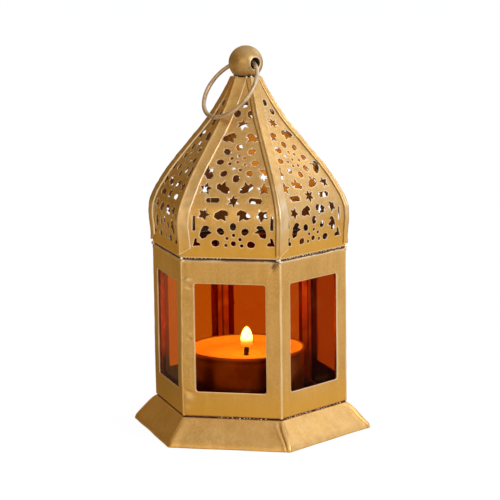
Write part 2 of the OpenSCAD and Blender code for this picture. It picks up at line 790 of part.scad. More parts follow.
pane_of(REAR, door_gap);  // door_pane
channels_of(REAR, door_gap);  // door_channels
door_knob();
hinge_leaves_door();
hinge_leaves_body();
hinge_pins();
turn_button();
button_rivet();
candle_cup();
candle_wax();
candle_wick();
wick_foot();
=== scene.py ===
"""Finish of the six-sided candle lantern: its fine shapes and materials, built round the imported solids.

Lengths are in metres. A side is drawn flat, with u along it counter-clockwise and v or z up it. A rise
or depth is square to it, and the side is then turned to the direction that it faces.
"""
import json
import math

import bpy
import numpy as np
from mathutils import Matrix, Vector
from mathutils.geometry import delaunay_2d_cdt


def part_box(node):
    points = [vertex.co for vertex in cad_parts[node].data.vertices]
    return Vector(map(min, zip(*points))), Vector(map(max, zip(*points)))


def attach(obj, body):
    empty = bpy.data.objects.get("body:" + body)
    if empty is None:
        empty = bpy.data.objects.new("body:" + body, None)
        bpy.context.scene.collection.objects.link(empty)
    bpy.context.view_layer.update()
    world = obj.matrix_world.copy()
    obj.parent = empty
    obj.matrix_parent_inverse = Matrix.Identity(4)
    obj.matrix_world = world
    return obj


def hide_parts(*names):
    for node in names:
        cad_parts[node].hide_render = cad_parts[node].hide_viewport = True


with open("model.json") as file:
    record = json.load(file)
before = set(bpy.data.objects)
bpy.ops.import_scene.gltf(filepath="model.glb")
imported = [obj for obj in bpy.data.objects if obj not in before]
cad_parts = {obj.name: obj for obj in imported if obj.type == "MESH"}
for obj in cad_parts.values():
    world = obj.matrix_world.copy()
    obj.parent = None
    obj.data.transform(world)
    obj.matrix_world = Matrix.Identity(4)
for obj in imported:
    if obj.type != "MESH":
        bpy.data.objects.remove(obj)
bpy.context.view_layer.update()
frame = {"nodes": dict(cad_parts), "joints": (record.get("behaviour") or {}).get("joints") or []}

MM = 0.001
TURN = 2 * math.pi


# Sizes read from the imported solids


def low(node):
    return np.array(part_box(node)[0])


def high(node):
    return np.array(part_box(node)[1])


def centre(node):
    return (low(node) + high(node)) / 2


def extent(node):
    return high(node) - low(node)


FACES = {"front": -90, "front_right": -30, "rear_right": 30, "rear": 90, "rear_left": 150, "front_left": 210}
HALF = math.radians(30)
FLAT = -low("side_front")[1]
SIDE = 2 * FLAT * math.tan(HALF)
SHEET = extent("dome_seam_ring")[2]
SIDE_Z, SEAM_Z = low("side_front")[2], high("side_front")[2]
DOME_Z, DOME_TOP_Z = high("dome_seam_ring")[2], high("dome_panel_rear")[2]
SKIRT_Z, SKIRT_FLAT = high("base_skirt")[2], -low("base_skirt")[1]
JOINTS = {joint["name"]: joint for joint in frame["joints"]}
BALL = np.array(JOINTS["ring_swing"]["pos_m"])
BALL_R = extent("finial_ball")[0] / 2
CANDLE = centre("candle_cup")
CUP_R = extent("candle_cup")[0] / 2
WAX_R = extent("candle_wax")[0] / 2
WAX_Z = high("candle_wax")[2]
WICK_R = extent("candle_wick")[0] / 2
WICK_Z = high("candle_wick")[2]

# Sizes of the sheet work
WINDOW_MARGIN = 4.85 * MM
WINDOW_SILL = 8.2 * MM
WINDOW_HEAD = 8 * MM
WINDOW_CORNER_R = 0.9 * MM
LIP_W = 2.5 * MM
HEM_W = 3 * MM
SKIRT_EDGE_H = 0.9 * MM
SKIRT_LEDGE_W = 4 * MM
FOLD_W = 3.7 * MM
MITRE_H = 3 * MM
MITRE_FOOT = 0.8 * MM
FRONT_SHIFT = 1.2 * MM
BALL_BORE_R = 1.9 * MM
RING_R = 11.3 * MM
WIRE_R = 0.75 * MM
CUP_RIM_H = 0.8 * MM

# Sizes of the dome's piercings
DOT_D = 1.1 * MM
EYE_D = 1.6 * MM
PETAL_W = 2.2 * MM
PETAL_L = 2.6 * MM
BIRD_W = 4.9 * MM
STAR_D = 4.3 * MM
BAR_L = 4.6 * MM
BAR_W = 1.7 * MM
SLOT_L = 4.3 * MM
SLOT_W = 0.9 * MM
STAR_WAIST_SHARE = 0.48
bird_shares = [
    (-0.5, 0.1), (-0.36, 0.28), (-0.08, 0.34), (0.1, 0.34), (0.38, 0.28), (0.5, 0.08),
    (0.42, -0.14), (0.24, -0.06), (0.14, -0.42), (-0.04, -0.16), (-0.3, -0.14),
]
corner_hole_shares = [(-0.5, -0.4), (0.5, -0.4), (0.42, -0.05), (0.05, 0.05), (0.1, 0.6), (-0.2, 0.5)]
# Outline of the dome along its corner: share of the height, share of the body side
dome_outline_shares = [
    (0, 1), (0.085, 1.004), (0.19, 1.018), (0.27, 0.9955), (0.36, 0.916),
    (0.47, 0.787), (0.6, 0.602), (0.75, 0.39), (0.88, 0.253), (1, 0.148),
]


# Shapes as arrays of points


class Shape:
    """Points with the faces between them and named values at each point, before they are a mesh."""

    def __init__(self, points, faces, **marks):
        self.points = np.asarray(points, float).reshape(-1, 3)
        self.faces = faces
        self.marks = {name: np.broadcast_to(value, len(self.points)) for name, value in marks.items()}

    def __add__(self, other):
        moved = [face + len(self.points) for face in other.faces]
        names = set(self.marks) | set(other.marks)
        marks = {
            name: np.concatenate([s.marks.get(name, np.zeros(len(s.points))) for s in (self, other)])
            for name in names
        }
        return Shape(np.vstack([self.points, other.points]), self.faces + moved, **marks)

    def at(self, origin, x=(1, 0, 0), y=(0, 1, 0), z=(0, 0, 1)):
        """The shape with its own axes laid along three directions, and its origin moved to a point."""
        points = np.asarray(origin, float) + self.points @ np.array([x, y, z], float)
        return Shape(points, self.faces, **self.marks)

    def sized(self, size):
        return Shape(self.points * size, self.faces, **self.marks)


def joined(shapes):
    """Several shapes as one."""
    total = shapes[0]
    for shape in shapes[1:]:
        total = total + shape
    return total


def ripples(x, y, size, seed):
    """Unevenness of hand-worked metal, about -1 to 1: six sine waves in seeded directions over x and y,
    each from 0.7 to 1.6 times the size long, added and divided by three."""
    rng = np.random.default_rng(seed)
    total = np.zeros(np.broadcast(x, y).shape)
    for _ in range(6):
        turn, start = rng.uniform(0, TURN, 2)
        wave = TURN / (size * rng.uniform(0.7, 1.6))
        total = total + np.sin((x * math.cos(turn) + y * math.sin(turn)) * wave + start)
    return total / 3


# Kinds of unevenness: how deep it is, in metres or as a share of what it changes, and how long its waves
WAVES = {
    "panel": (0.1 * MM, 13 * MM), "panel grain": (0.025 * MM, 3.5 * MM),
    "fold": (0.055 * MM, 3.2 * MM), "fold edge": (0.12 * MM, 11 * MM), "fold highlight": (0.5, 7 * MM),
    "side": (0.07 * MM, 17 * MM), "side top": (0.12 * MM, 9 * MM), "side highlight": (0.15, 7 * MM),
    "corner reach": (0.03 * MM, 8 * MM), "corner slip": (0.05 * MM, 13 * MM),
    "corner radius": (0.08, 6 * MM), "corner wear and highlight": (0.16, 12 * MM),
    "skirt": (0.12 * MM, 16 * MM), "skirt crease": (0.25 * MM, 5 * MM),
    "ball": (0.06 * MM, 7 * MM), "ring": (0.13 * MM, 24 * MM), "ring radius": (0.05, 6 * MM),
    "button": (0.05 * MM, 6 * MM), "wax": (0.08 * MM, 9 * MM), "wax grain": (0.04 * MM, 3 * MM),
    "wick radius": (0.12, 2 * MM),
}


def uneven(kind, x, y, seed):
    """Waves of a kind over x and y."""
    depth, length = WAVES[kind]
    return depth * ripples(x, y, length, seed)


def bump(x, middle, width):
    """A smooth hump of height 1: e to the power of minus the square of the distance over the width."""
    return np.exp(-(((x - middle) / width) ** 2))


def eased(x, start, end):
    """A smooth step from 0 at start to 1 at end: 3t squared less 2t cubed."""
    t = np.clip((x - start) / (end - start), 0, 1)
    return t * t * (3 - 2 * t)


def arc(x, y, r, first, last, steps=6):
    """Points (x + r cos a, y + r sin a) for angles in degrees from first to last."""
    a = np.radians(np.linspace(first, last, steps))
    return np.stack([x + r * np.cos(a), y + r * np.sin(a)], -1)


def turned(points, degrees):
    """Points turned about Z, so that what was drawn for +X faces that direction."""
    c, s = math.cos(math.radians(degrees)), math.sin(math.radians(degrees))
    return points @ np.array([[c, s, 0], [-s, c, 0], [0, 0, 1]])


def on_face(shape, degrees, out, u, z):
    """A shape made about Z, stood out of a side at a place: its Z points outwards and its Y up."""
    n, along, up = turned(np.eye(3), degrees)
    return shape.at(n * out + along * u + up * z, along, up, n)


def grid_faces(rows, columns, close_rows=False, close_columns=False):
    """Quads between neighbouring points of a grid. With rows running up and columns running
    counter-clockwise round the object, they face outwards."""
    i, j = np.meshgrid(
        np.arange(rows - (not close_rows)), np.arange(columns - (not close_columns)), indexing="ij"
    )
    up, on = (i + 1) % rows, (j + 1) % columns
    corners = [i * columns + j, i * columns + on, up * columns + on, up * columns + j]
    return np.stack(corners, -1).reshape(-1, 4)


def slab(outer, inner, **marks):
    """Closed shell between two grids of points of one size: both grids, and a wall round their rim."""
    rows, columns = outer.shape[:2]
    count = rows * columns
    faces = grid_faces(rows, columns)
    number = np.arange(count).reshape(rows, columns)
    rim = np.concatenate([number[0, :-1], number[:-1, -1], number[-1, :0:-1], number[:0:-1, 0]])
    following = np.roll(rim, -1)
    wall = np.stack([following, rim, rim + count, following + count], -1)
    points = np.concatenate([outer.reshape(-1, 3), inner.reshape(-1, 3)])
    return Shape(points, [faces, faces[:, ::-1] + count, wall], **marks)


def spun(profile, steps=72, hoop=False):
    """Surface of revolution about Z: (r cos a, r sin a, h) for each profile point (r, h) and angle a.
    A hoop's profile is a closed loop. Any other profile starts and ends on the axis, as poles."""
    profile = np.asarray(profile, float)
    a = np.arange(steps) * TURN / steps
    rows = profile if hoop else profile[1:-1]
    height = np.repeat(rows[:, 1:], steps, 1)
    points = np.stack([np.outer(rows[:, 0], np.cos(a)), np.outer(rows[:, 0], np.sin(a)), height], -1)
    points = points.reshape(-1, 3)
    faces = [grid_faces(len(rows), steps, hoop, True)]
    if not hoop:
        j = np.arange(steps)
        on, last, pole = (j + 1) % steps, len(points) - steps, np.full(steps, len(points))
        faces += [np.stack([pole, on, j], -1), np.stack([pole + 1, last + j, last + on], -1)]
        points = np.vstack([points, [[0, 0, profile[0, 1]], [0, 0, profile[-1, 1]]]])
    return Shape(points, faces)


# Blunt end of a rod: the share of its radius that its last ring has, and how many radii it stands out
BLUNT_SHARE = 0.7
BLUNT_OUT_SHARE = 0.25


def rod(path, radius, across, sides=18):
    """Round bar with blunt ends along a path: path + r (cos a N + sin a B), where B is square to the
    path and N, which is the direction across it at each point, is given."""
    run = np.gradient(path, axis=0)
    run /= np.linalg.norm(run, axis=1)[:, None]
    binormal = np.cross(run, across)
    a = (np.arange(sides) * TURN / sides)[None, :, None]
    r = (radius * np.ones(len(path)))[:, None, None]
    rings = path[:, None] + r * (np.cos(a) * across[:, None] + np.sin(a) * binormal[:, None])
    before, after = (
        path[k] + BLUNT_SHARE * (rings[k] - path[k]) + way * BLUNT_OUT_SHARE * r[k] * run[k]
        for k, way in ((0, -1), (-1, 1))
    )
    rings = np.concatenate([before[None], rings, after[None]])
    number = np.arange(rings.shape[0] * sides).reshape(-1, sides)
    poles = number.size + np.arange(2)
    first, last = number[0], number[-1]
    fans = [
        np.stack([np.full(sides, poles[0]), np.roll(first, -1), first], -1),
        np.stack([np.full(sides, poles[1]), last, np.roll(last, -1)], -1),
    ]
    points = np.vstack([rings.reshape(-1, 3), rings[0].mean(0), rings[-1].mean(0)])
    return Shape(points, [grid_faces(len(number), sides, False, True)] + fans)


def lump(first, last, rows, sides):
    """A ball of radius 1: rings at angles from first to last, measured from its lower pole."""
    rings = [(math.sin(a), -math.cos(a)) for a in np.linspace(first, last, rows)]
    return spun([(0, -1), *rings, (0, 1)], sides)


# Cut sheet


def resampled(polygon, step):
    """The polygon's outline with points added along its edges, so that none is longer than the step."""
    polygon = np.asarray(polygon, float)
    points = []
    for a, b in zip(polygon, np.roll(polygon, -1, 0)):
        count = max(1, math.ceil(np.linalg.norm(b - a) / step))
        points.append(a + (b - a) * (np.arange(count) / count)[:, None])
    return np.concatenate(points)


def inside(points, polygon):
    """True for each point that an even-odd count of the polygon's edges puts inside it."""
    x, y = points[:, :1], points[:, 1:]
    a, b = polygon, np.roll(polygon, -1, 0)
    rise = np.where(a[:, 1] == b[:, 1], 1, b[:, 1] - a[:, 1])
    crosses = (a[:, 1] > y) != (b[:, 1] > y)
    at = a[:, 0] + (y - a[:, 1]) * (b[:, 0] - a[:, 0]) / rise
    return (crosses & (x < at)).sum(1) % 2 == 1


def rim_points(polygon, distance):
    """Points beside each point of a polygon, moved square to its outline away from its middle."""
    along = np.roll(polygon, -1, 0) - np.roll(polygon, 1, 0)
    square = np.stack([along[:, 1], -along[:, 0]], -1)
    square /= np.linalg.norm(square, axis=1)[:, None]
    a, b = polygon, np.roll(polygon, -1, 0)
    area = (a[:, 0] * b[:, 1] - a[:, 1] * b[:, 0]).sum()
    return polygon + distance * math.copysign(1, area) * square


def within(points, loops):
    """True for each point inside the first outline and outside the others."""
    keep = inside(points, loops[0])
    for hole in loops[1:]:
        keep &= ~inside(points, hole)
    return keep


# Least distance at which the triangulation keeps points apart, in millimetres, and least area doubled
# of a triangle, in square metres
APART_MM = 1e-5
LEAST_AREA = 1e-14


def triangulated(loops, free):
    """Triangles between outlines and free points, by a constrained Delaunay triangulation in
    millimetres. They turn counter-clockwise, and lie inside the first outline and outside the others."""
    edges, start = [], 0
    for loop in loops:
        number = start + np.arange(len(loop))
        edges += np.stack([number, np.roll(number, -1)], -1).tolist()
        start += len(loop)
    flat = np.concatenate([*loops, free]) / MM
    made = delaunay_2d_cdt([Vector(p) for p in flat], edges, [], 0, APART_MM)
    flat = np.array([tuple(p) for p in made[0]]) * MM
    triangles = np.array([face for face in made[2] if len(face) == 3])
    a, b, c = (flat[triangles[:, k]] for k in range(3))
    signed = (b[:, 0] - a[:, 0]) * (c[:, 1] - a[:, 1]) - (b[:, 1] - a[:, 1]) * (c[:, 0] - a[:, 0])
    triangles[signed < 0] = triangles[signed < 0][:, ::-1]
    triangles = triangles[within((a + b + c) / 3, loops) & (np.abs(signed) > LEAST_AREA)]
    used, triangles = np.unique(triangles, return_inverse=True)
    return flat[used], triangles.reshape(-1, 3)


# Least distance of a free point from an outline, as a share of the rim beside the holes
CLEAR_SHARE = 0.7


def cut_sheet(border, holes, filling, place, thickness, rim, chamfer=0.06 * MM):
    """A flat outline with holes, made of triangles between its outlines, a rim of points beside each
    hole and the filling, and given a thickness. Its place(u, v, depth) carries it to the outer layer,
    and to the inner one at the depth of the sheet. Cut edges are chamfered, and marked with cut 1; the
    inner layer is marked with inside 1."""
    loops = [np.asarray(border, float)] + holes
    free = np.concatenate([rim_points(hole, rim) for hole in holes] + [filling])
    free = free[within(free, loops)]
    gap = np.sqrt(((free[:, None] - np.concatenate(loops)[None]) ** 2).sum(-1)).min(1)
    flat, triangles = triangulated(loops, free[gap > CLEAR_SHARE * rim])
    count = len(flat)
    sides = np.concatenate([triangles[:, [0, 1]], triangles[:, [1, 2]], triangles[:, [2, 0]]])
    alone = ~np.isin(sides[:, 0] * count + sides[:, 1], sides[:, 1] * count + sides[:, 0])
    first, second = sides[alone].T
    cut = np.zeros(count)
    cut[first] = 1
    u, v = flat.T
    points = np.concatenate([place(u, v, chamfer * cut), place(u, v, thickness * np.ones(count))])
    wall = np.stack([second, first, first + count, second + count], -1)
    faces = [triangles, triangles[:, ::-1] + count, wall]
    return Shape(points, faces, cut=np.tile(cut, 2), inside=np.repeat([0.0, 1.0], count))


# Space between the rows of a lattice, as a share of the space along them
ROW_SHARE = 0.87


def lattice(u_reach, v_low, v_high, spacing):
    """Rows of points, every other one set half a space along."""
    v = np.arange(v_low + spacing / 2, v_high, spacing * ROW_SHARE)
    u = np.arange(-u_reach, u_reach + spacing, spacing)
    grid_u, grid_v = np.meshgrid(u, v)
    grid_u = grid_u + spacing / 2 * (np.arange(len(v)) % 2)[:, None]
    return np.stack([grid_u.ravel(), grid_v.ravel()], -1)


# The dome


def smooth_outline(shares, steps):
    """A Catmull-Rom curve through the points, with the end points repeated: each span is
    (2b + (c-a)t + (2a-5b+4c-d)t^2 + (3b-a-3c+d)t^3) / 2."""
    p = np.array([shares[0], *shares, shares[-1]], float)
    a, b, c, d = (p[k : len(p) - 3 + k, None] for k in range(4))
    t = (np.arange(steps) / steps)[None, :, None]
    curve = (2 * b + (c - a) * t + (2 * a - 5 * b + 4 * c - d) * t**2 + (3 * b - a - 3 * c + d) * t**3) / 2
    return np.concatenate([curve.reshape(-1, 2), p[-1:]])


OUTLINE = smooth_outline(dome_outline_shares, 10)
DOME_OUT = OUTLINE[:, 1] * FLAT
DOME_UP = DOME_Z + OUTLINE[:, 0] * (DOME_TOP_Z - DOME_Z)
DOME_RUN = np.concatenate([[0], np.cumsum(np.hypot(np.diff(DOME_OUT), np.diff(DOME_UP)))])
PANEL_L = DOME_RUN[-1]
SQUARE_OUT = np.gradient(DOME_UP, DOME_RUN)
SQUARE_UP = -np.gradient(DOME_OUT, DOME_RUN)


def dome_out(v):
    return np.interp(v, DOME_RUN, DOME_OUT)


def dome_half(v):
    """Half of a panel's width at a length up it."""
    return dome_out(v) * math.tan(HALF)


def dome_point(degrees, u, v, rise):
    """A place on a panel: its outline point, moved by the rise along the outline's normal. Below the
    outline u shrinks with the distance out, so that neighbouring panels still meet."""
    out, square = dome_out(v), np.interp(v, DOME_RUN, SQUARE_OUT)
    x = out + rise * square
    z = np.interp(v, DOME_RUN, DOME_UP) + rise * np.interp(v, DOME_RUN, SQUARE_UP)
    return turned(np.stack([x, u * x / out, np.clip(z, DOME_Z, DOME_TOP_Z)], -1), degrees)


def dome_ridge(degrees, v, rise, share):
    """A place off the corner after a panel: the corner line, moved by the rise along the panel's
    normal when that is turned by a share of the way to the next panel."""
    a = share * 2 * HALF
    square = rise * np.interp(v, DOME_RUN, SQUARE_OUT)
    z = np.interp(v, DOME_RUN, DOME_UP) + rise * np.interp(v, DOME_RUN, SQUARE_UP)
    x, y = dome_out(v) + square * math.cos(a), dome_half(v) + square * math.sin(a)
    return turned(np.stack([x, y, np.clip(z, DOME_Z, DOME_TOP_Z)], -1), degrees)


def round_hole(d, sides=20):
    return arc(0, 0, d / 2, 0, 360, sides + 1)[:-1]


def star(points, d=STAR_D):
    """Star: its reach is half of d at each point, and the waist's share of that between them."""
    a = np.radians(90 + 180 * np.arange(2 * points) / points)
    r = d / 2 * np.where(np.arange(2 * points) % 2 == 0, 1, STAR_WAIST_SHARE)
    return np.stack([r * np.cos(a), r * np.sin(a)], -1)


def petal():
    a = np.radians(45 * np.arange(8))
    return np.stack([PETAL_W / 2 * np.sin(a), PETAL_L / 2 * np.cos(a)], -1)


def bar():
    nose = BAR_W / 3
    x = [-BAR_L / 2, nose - BAR_L / 2, BAR_L / 2 - nose, BAR_L / 2, BAR_L / 2 - nose, nose - BAR_L / 2]
    return np.stack([x, np.array([0, 1, 1, 0, -1, -1]) * BAR_W / 2], -1)


def slot():
    return np.array([(-1, -1), (1, -1), (1, 1), (-1, 1)]) * [SLOT_W / 2, SLOT_L / 2]


# Least and largest size of what is cut, as shares of the sizes above
FRONT_CUT_SHARES = (1.0, 1.12)
REAR_CUT_SHARES = (0.82, 0.94)
BIRD = BIRD_W * np.array(bird_shares)
CORNER_HOLE = PETAL_L * np.array(corner_hole_shares)
FLIP = np.array([-1, 1])
# Heights of the two rosettes and of the row between them, as shares of a panel's length
LOWER_SHARE, MIDDLE_SHARE, UPPER_SHARE = 0.0764, 0.3, 0.515
# Radii of a rosette's circles, as shares of a body side
DOTS_SHARE, PETALS_SHARE, BIRDS_SHARE, STARS_SHARE = 0.083, 0.175, 0.293, 0.411
# Places of what is pierced in pairs: bar, slot, petal and corner hole, as a share of a body side off
# the middle and a share of the panel's length up it
PAIRED_SHARES = [(0.21, 0.3), (0.389, 0.183), (0.068, 0.8), (0.37, 0.081)]
TOP_STAR_SHARE, TOP_PETAL_SHARE = 0.737, 0.855
# Below this sine of its angle, the lower rosette's dots and petals would pass the panel's foot
FOOT_SINE = -0.3
# How a hand cuts: turned by degrees, wandering by a share of a size, off its place, in steps
HAND_TURN = 3
HAND_WANDER_SHARE = 0.018
HAND_SLIP = 0.12 * MM
HAND_STEP = 0.45 * MM


def panel_holes(shift, seed, least, most):
    """The pattern of one panel, as polygons in its flat coordinates. Each piece is cut by hand, so its
    size is between two shares, it is turned and moved a little, and its points wander."""
    rng = np.random.default_rng(seed)
    holes = []

    def pierce(shape, u, v, spin=0):
        a = math.radians(spin + rng.normal(0, HAND_TURN))
        c, s = math.cos(a), math.sin(a)
        wander = HAND_WANDER_SHARE * np.ptp(shape, 0).max()
        cut = shape * rng.uniform(least, most) + rng.normal(0, wander, shape.shape)
        place = np.array([u + shift, v]) + rng.normal(0, HAND_SLIP, 2)
        holes.append(resampled(cut @ np.array([[c, s], [-s, c]]) + place, HAND_STEP))

    def around(shape, v, reach_share, turns):
        r = reach_share * SIDE
        for turn in turns:
            a = math.radians(turn)
            pierce(shape, r * math.cos(a), v + r * math.sin(a), turn - 90)

    def above_foot(turns):
        return [turn for turn in turns if math.sin(math.radians(turn)) > FOOT_SINE]

    lower, middle, upper = (share * PANEL_L for share in (LOWER_SHARE, MIDDLE_SHARE, UPPER_SHARE))
    dot, eye, mirrored = round_hole(DOT_D, 12), round_hole(EYE_D, 16), BIRD * FLIP
    dots = [90 + 360 * i / 7 for i in range(7)]
    petals = [45 * i for i in range(8)]
    pierce(eye, 0, lower)
    around(dot, lower, DOTS_SHARE, above_foot(dots))
    around(petal(), lower, PETALS_SHARE, above_foot(petals))
    around(BIRD, lower, BIRDS_SHARE, [112.5, 157.5])
    around(mirrored, lower, BIRDS_SHARE, [22.5, 67.5])
    around(star(5), lower, STARS_SHARE, [45, 135])
    pierce(dot, 0, upper)
    around(dot, upper, DOTS_SHARE, dots)
    around(petal(), upper, PETALS_SHARE, petals)
    around(BIRD, upper, BIRDS_SHARE, [112.5, 202.5, 247.5])
    around(mirrored, upper, BIRDS_SHARE, [67.5, -22.5, -67.5])
    around(star(5), upper, STARS_SHARE, [-45, -135])
    pierce(star(6), 0, middle)
    for way in (-1, 1):
        pair = bar(), slot(), petal(), CORNER_HOLE * [-way, 1]
        for shape, (across, up) in zip(pair, PAIRED_SHARES):
            pierce(shape, way * across * SIDE, up * PANEL_L)
    pierce(star(6), 0, TOP_STAR_SHARE * PANEL_L)
    pierce(petal(), 0, TOP_PETAL_SHARE * PANEL_L)
    return holes


# The dome's sheet: its thickness, the space between its points and the rim of them beside its holes,
# and how far in from its corners and its foot it is stiff
DOME_SHEET = 0.34 * MM
DOME_SPACING = 0.85 * MM
DOME_RIM = 0.28 * MM
DOME_STIFF_W = 4 * MM
DOME_STIFF_H = 3 * MM


def panel_sheet(degrees, shift, seed, least, most):
    """The pierced sheet of one panel, with a low unevenness that dies out towards its corners."""
    v = np.linspace(0, PANEL_L, 80)
    half = dome_half(v)
    foot = np.linspace(-half[0], half[0], 34)[1:-1]
    top = np.linspace(half[-1], -half[-1], 8)[1:-1]
    border = np.concatenate([
        np.stack([foot, np.zeros(len(foot))], -1), np.stack([half, v], -1),
        np.stack([top, np.full(len(top), PANEL_L)], -1), np.stack([-half, v], -1)[::-1],
    ])

    def place(u, v, depth):
        loose = eased(dome_half(v) - np.abs(u), 0, DOME_STIFF_W) * eased(v, 0, DOME_STIFF_H)
        rise = loose * (uneven("panel", u, v, seed) + uneven("panel grain", u, v, seed + 1))
        return dome_point(degrees, u, v, rise - depth)

    filling = lattice(half.max(), 0, PANEL_L, DOME_SPACING)
    return cut_sheet(border, panel_holes(shift, seed, least, most), filling, place, DOME_SHEET, DOME_RIM)


# Section of the folded strip: reach past the corner (less than 0 is on its own panel) and rise
FOLD_SECTION = [
    (-1.62, 0.02), (-1.58, 0.2), (-1.45, 0.42), (-1.25, 0.52), (-1.0, 0.5), (-0.75, 0.48), (-0.5, 0.55),
    (-0.3, 0.63), (-0.2, 0.66), (-0.12, 0.68), (-0.04, 0.69), (0.04, 0.69), (0.12, 0.68), (0.2, 0.66),
    (0.4, 0.6), (0.8, 0.54), (1.3, 0.5), (1.9, 0.5), (2.5, 0.51), (3.1, 0.53), (3.45, 0.55), (3.62, 0.54),
    (3.69, 0.46), (3.7, 0.3),
]
# Points of that section, by their numbers: the groove beside the crease, all from the crease on, the
# ridge along the corner and the free edge
GROOVE, CREASE_ON, RIDGE, FREE_EDGE = slice(0, 2), slice(3, None), slice(6, 15), slice(-3, None)
RIDGE_REACH = 0.2 * MM
FOLD_STEPS = 130
# Rise above which the strip is dented, its thickness, and how high its underside may stand
FOLD_DENTED = 0.4 * MM
FOLD_SHEET = 0.12 * MM
FOLD_UNDER = 0.04 * MM
# How much flatter the strip is pressed towards the dome's top, and where that starts and ends
PRESSED_SHARE = 0.45
PRESSED_FROM, PRESSED_TO = PANEL_L - 14 * MM, PANEL_L - 2 * MM
# Where the belly of a strip is, and how far it reaches; how strong the painted highlight is there
BELLY, BELLY_REACH = 11 * MM, 10 * MM
FOLD_HIGHLIGHT = {"front": 0.5, "front_left": 0.26, "front_right": 0.3}
FOLD_HIGHLIGHT_ELSEWHERE = 0.2


def fold_strip(degrees, seed, highlight_share):
    """The strip that a panel folds over its neighbour: the section carried up the corner, with a
    raised crease before it, small dents, a wavy free edge and a mitred lower end. It has a painted
    highlight round its belly, by a share, and along the ridge over the corner, and painted shade in
    the groove beside its crease."""
    share = np.linspace(0, 1, FOLD_STEPS)
    rows, under = [], []
    for reach, rise in np.array(FOLD_SECTION) * MM:
        foot = MITRE_FOOT + (MITRE_H - MITRE_FOOT) * max(reach, 0) / FOLD_W
        v = foot + (PANEL_L - foot) * share
        dent = uneven("fold", np.full(FOLD_STEPS, reach), v, seed) * (rise > FOLD_DENTED)
        wander = uneven("fold edge", v, 0, seed + 3) * min(abs(reach) / FOLD_W * 2, 1)
        pressed = 1 - PRESSED_SHARE * eased(v, PRESSED_FROM, PRESSED_TO)
        lift = np.maximum(rise + dent, 0.0) * pressed
        low_side = np.minimum(lift - FOLD_SHEET, FOLD_UNDER)
        if abs(reach) <= RIDGE_REACH:
            turn = 0.5 + 0.5 * reach / RIDGE_REACH
            rows.append(dome_ridge(degrees, v, lift, turn))
            under.append(dome_ridge(degrees, v, low_side, turn))
        else:
            face = degrees if reach < 0 else degrees + math.degrees(2 * HALF)
            u = math.copysign(1, -reach) * (dome_half(v) - abs(reach) + wander)
            rows.append(dome_point(face, u, v, lift))
            under.append(dome_point(face, u, v, low_side))
    cut, dark = np.zeros((2, FOLD_STEPS, len(rows)))
    up = share[:, None] * PANEL_L
    patches = 0.5 + uneven("fold highlight", up, 0, seed + 5)
    # Painted highlight round the belly
    cut[:, CREASE_ON] = np.clip(highlight_share * bump(up, BELLY, BELLY_REACH) * (0.6 + 0.7 * patches), 0, 1)
    cut[:, FREE_EDGE] = 1
    cut[0] = 1
    # Painted highlight along the ridge over the corner
    over_ridge = np.sin(np.linspace(0.3, math.pi - 0.3, RIDGE.stop - RIDGE.start))
    cut[:, RIDGE] = np.maximum(cut[:, RIDGE], 0.3 * patches * over_ridge)
    # Painted shade in the groove beside the crease
    dark[:, GROOVE] = 0.85
    grids = [np.stack(g, 1) for g in (rows, under)]
    return slab(*grids, cut=np.tile(cut.ravel(), 2), inside=np.tile(dark.ravel(), 2))


# The body


def rounded(edge, r):
    """How far a rounded edge of radius r falls away at a distance from it."""
    inner = np.clip(r - edge, 0, r)
    return r - np.sqrt(np.maximum(r * r - inner * inner, 0))


WINDOW_STEP = 0.6 * MM


def window_outline(left_slip, right_slip):
    """The window: four straight edges with quarter rounds between them. Cut by hand, its left and
    right edges slip outwards by some millimetres, or inwards where a slip is less than 0."""
    w, r = SIDE / 2 - WINDOW_MARGIN - WINDOW_CORNER_R, WINDOW_CORNER_R
    left, right = -w - left_slip * MM, w + right_slip * MM
    foot, head = SIDE_Z + WINDOW_SILL + r, SEAM_Z - WINDOW_HEAD - r
    corners = [(right, foot, 270), (right, head, 0), (left, head, 90), (left, foot, 180)]
    return resampled(np.concatenate([arc(x, z, r, a, a + 90, 7) for x, z, a in corners]), WINDOW_STEP)


# Dents in the front side: place along it, height, depth, half width, half length and turn in degrees
FRONT_DENTS = np.array([
    (-15.5, 55.1, 0.22, 0.3, 0.9, 20), (-14.4, 54.5, -0.24, 0.5, 1.5, -3), (-13.9, 52.5, 0.24, 0.7, 0.9, 0),
    (-14.2, 51.7, -0.18, 0.35, 1.3, 5), (-15.7, 59.7, 0.26, 0.4, 0.5, 0), (-14.0, 35.2, 0.22, 0.5, 0.7, 0),
    (-13.9, 36.6, -0.14, 0.5, 0.7, 0), (-14.7, 17.5, 0.28, 0.45, 1.4, -8), (-14.6, 15.4, -0.26, 1.0, 1.6, 0),
    (-15.2, 12.0, -0.14, 0.9, 1.0, 0), (13.5, 60.9, -0.4, 0.55, 1.1, 80), (14.7, 60.2, 0.5, 0.8, 2.2, 66),
    (13.9, 59.0, 0.14, 0.7, 0.7, 0), (-14.6, 47.5, 0.12, 1.0, 1.7, 0), (-14.6, 43.0, -0.1, 0.6, 1.2, 12),
    (-14.3, 28.0, 0.12, 0.8, 1.4, -15), (9.0, 16.5, 0.07, 3.2, 3.2, 0), (2.0, 59.0, 0.05, 4.0, 4.0, 0),
    (14.7, 50.0, 0.12, 1.0, 1.4, 0), (14.2, 36.0, 0.08, 1.4, 2.0, 0), (14.6, 24.0, 0.1, 1.2, 1.8, 0),
]) * ([MM] * 5 + [1])


def dent_share(u, z, dent):
    """How much of a dent's depth there is at a place: exp(-(a / long)^2 - (b / wide)^2), where a and b
    are along and across the dent."""
    at_u, at_z, _, wide, long, turn = dent
    c, s = math.cos(math.radians(turn)), math.sin(math.radians(turn))
    a, b = (u - at_u) * c + (z - at_z) * s, (z - at_z) * c - (u - at_u) * s
    return np.exp(-((a / long) ** 2) - (b / wide) ** 2)


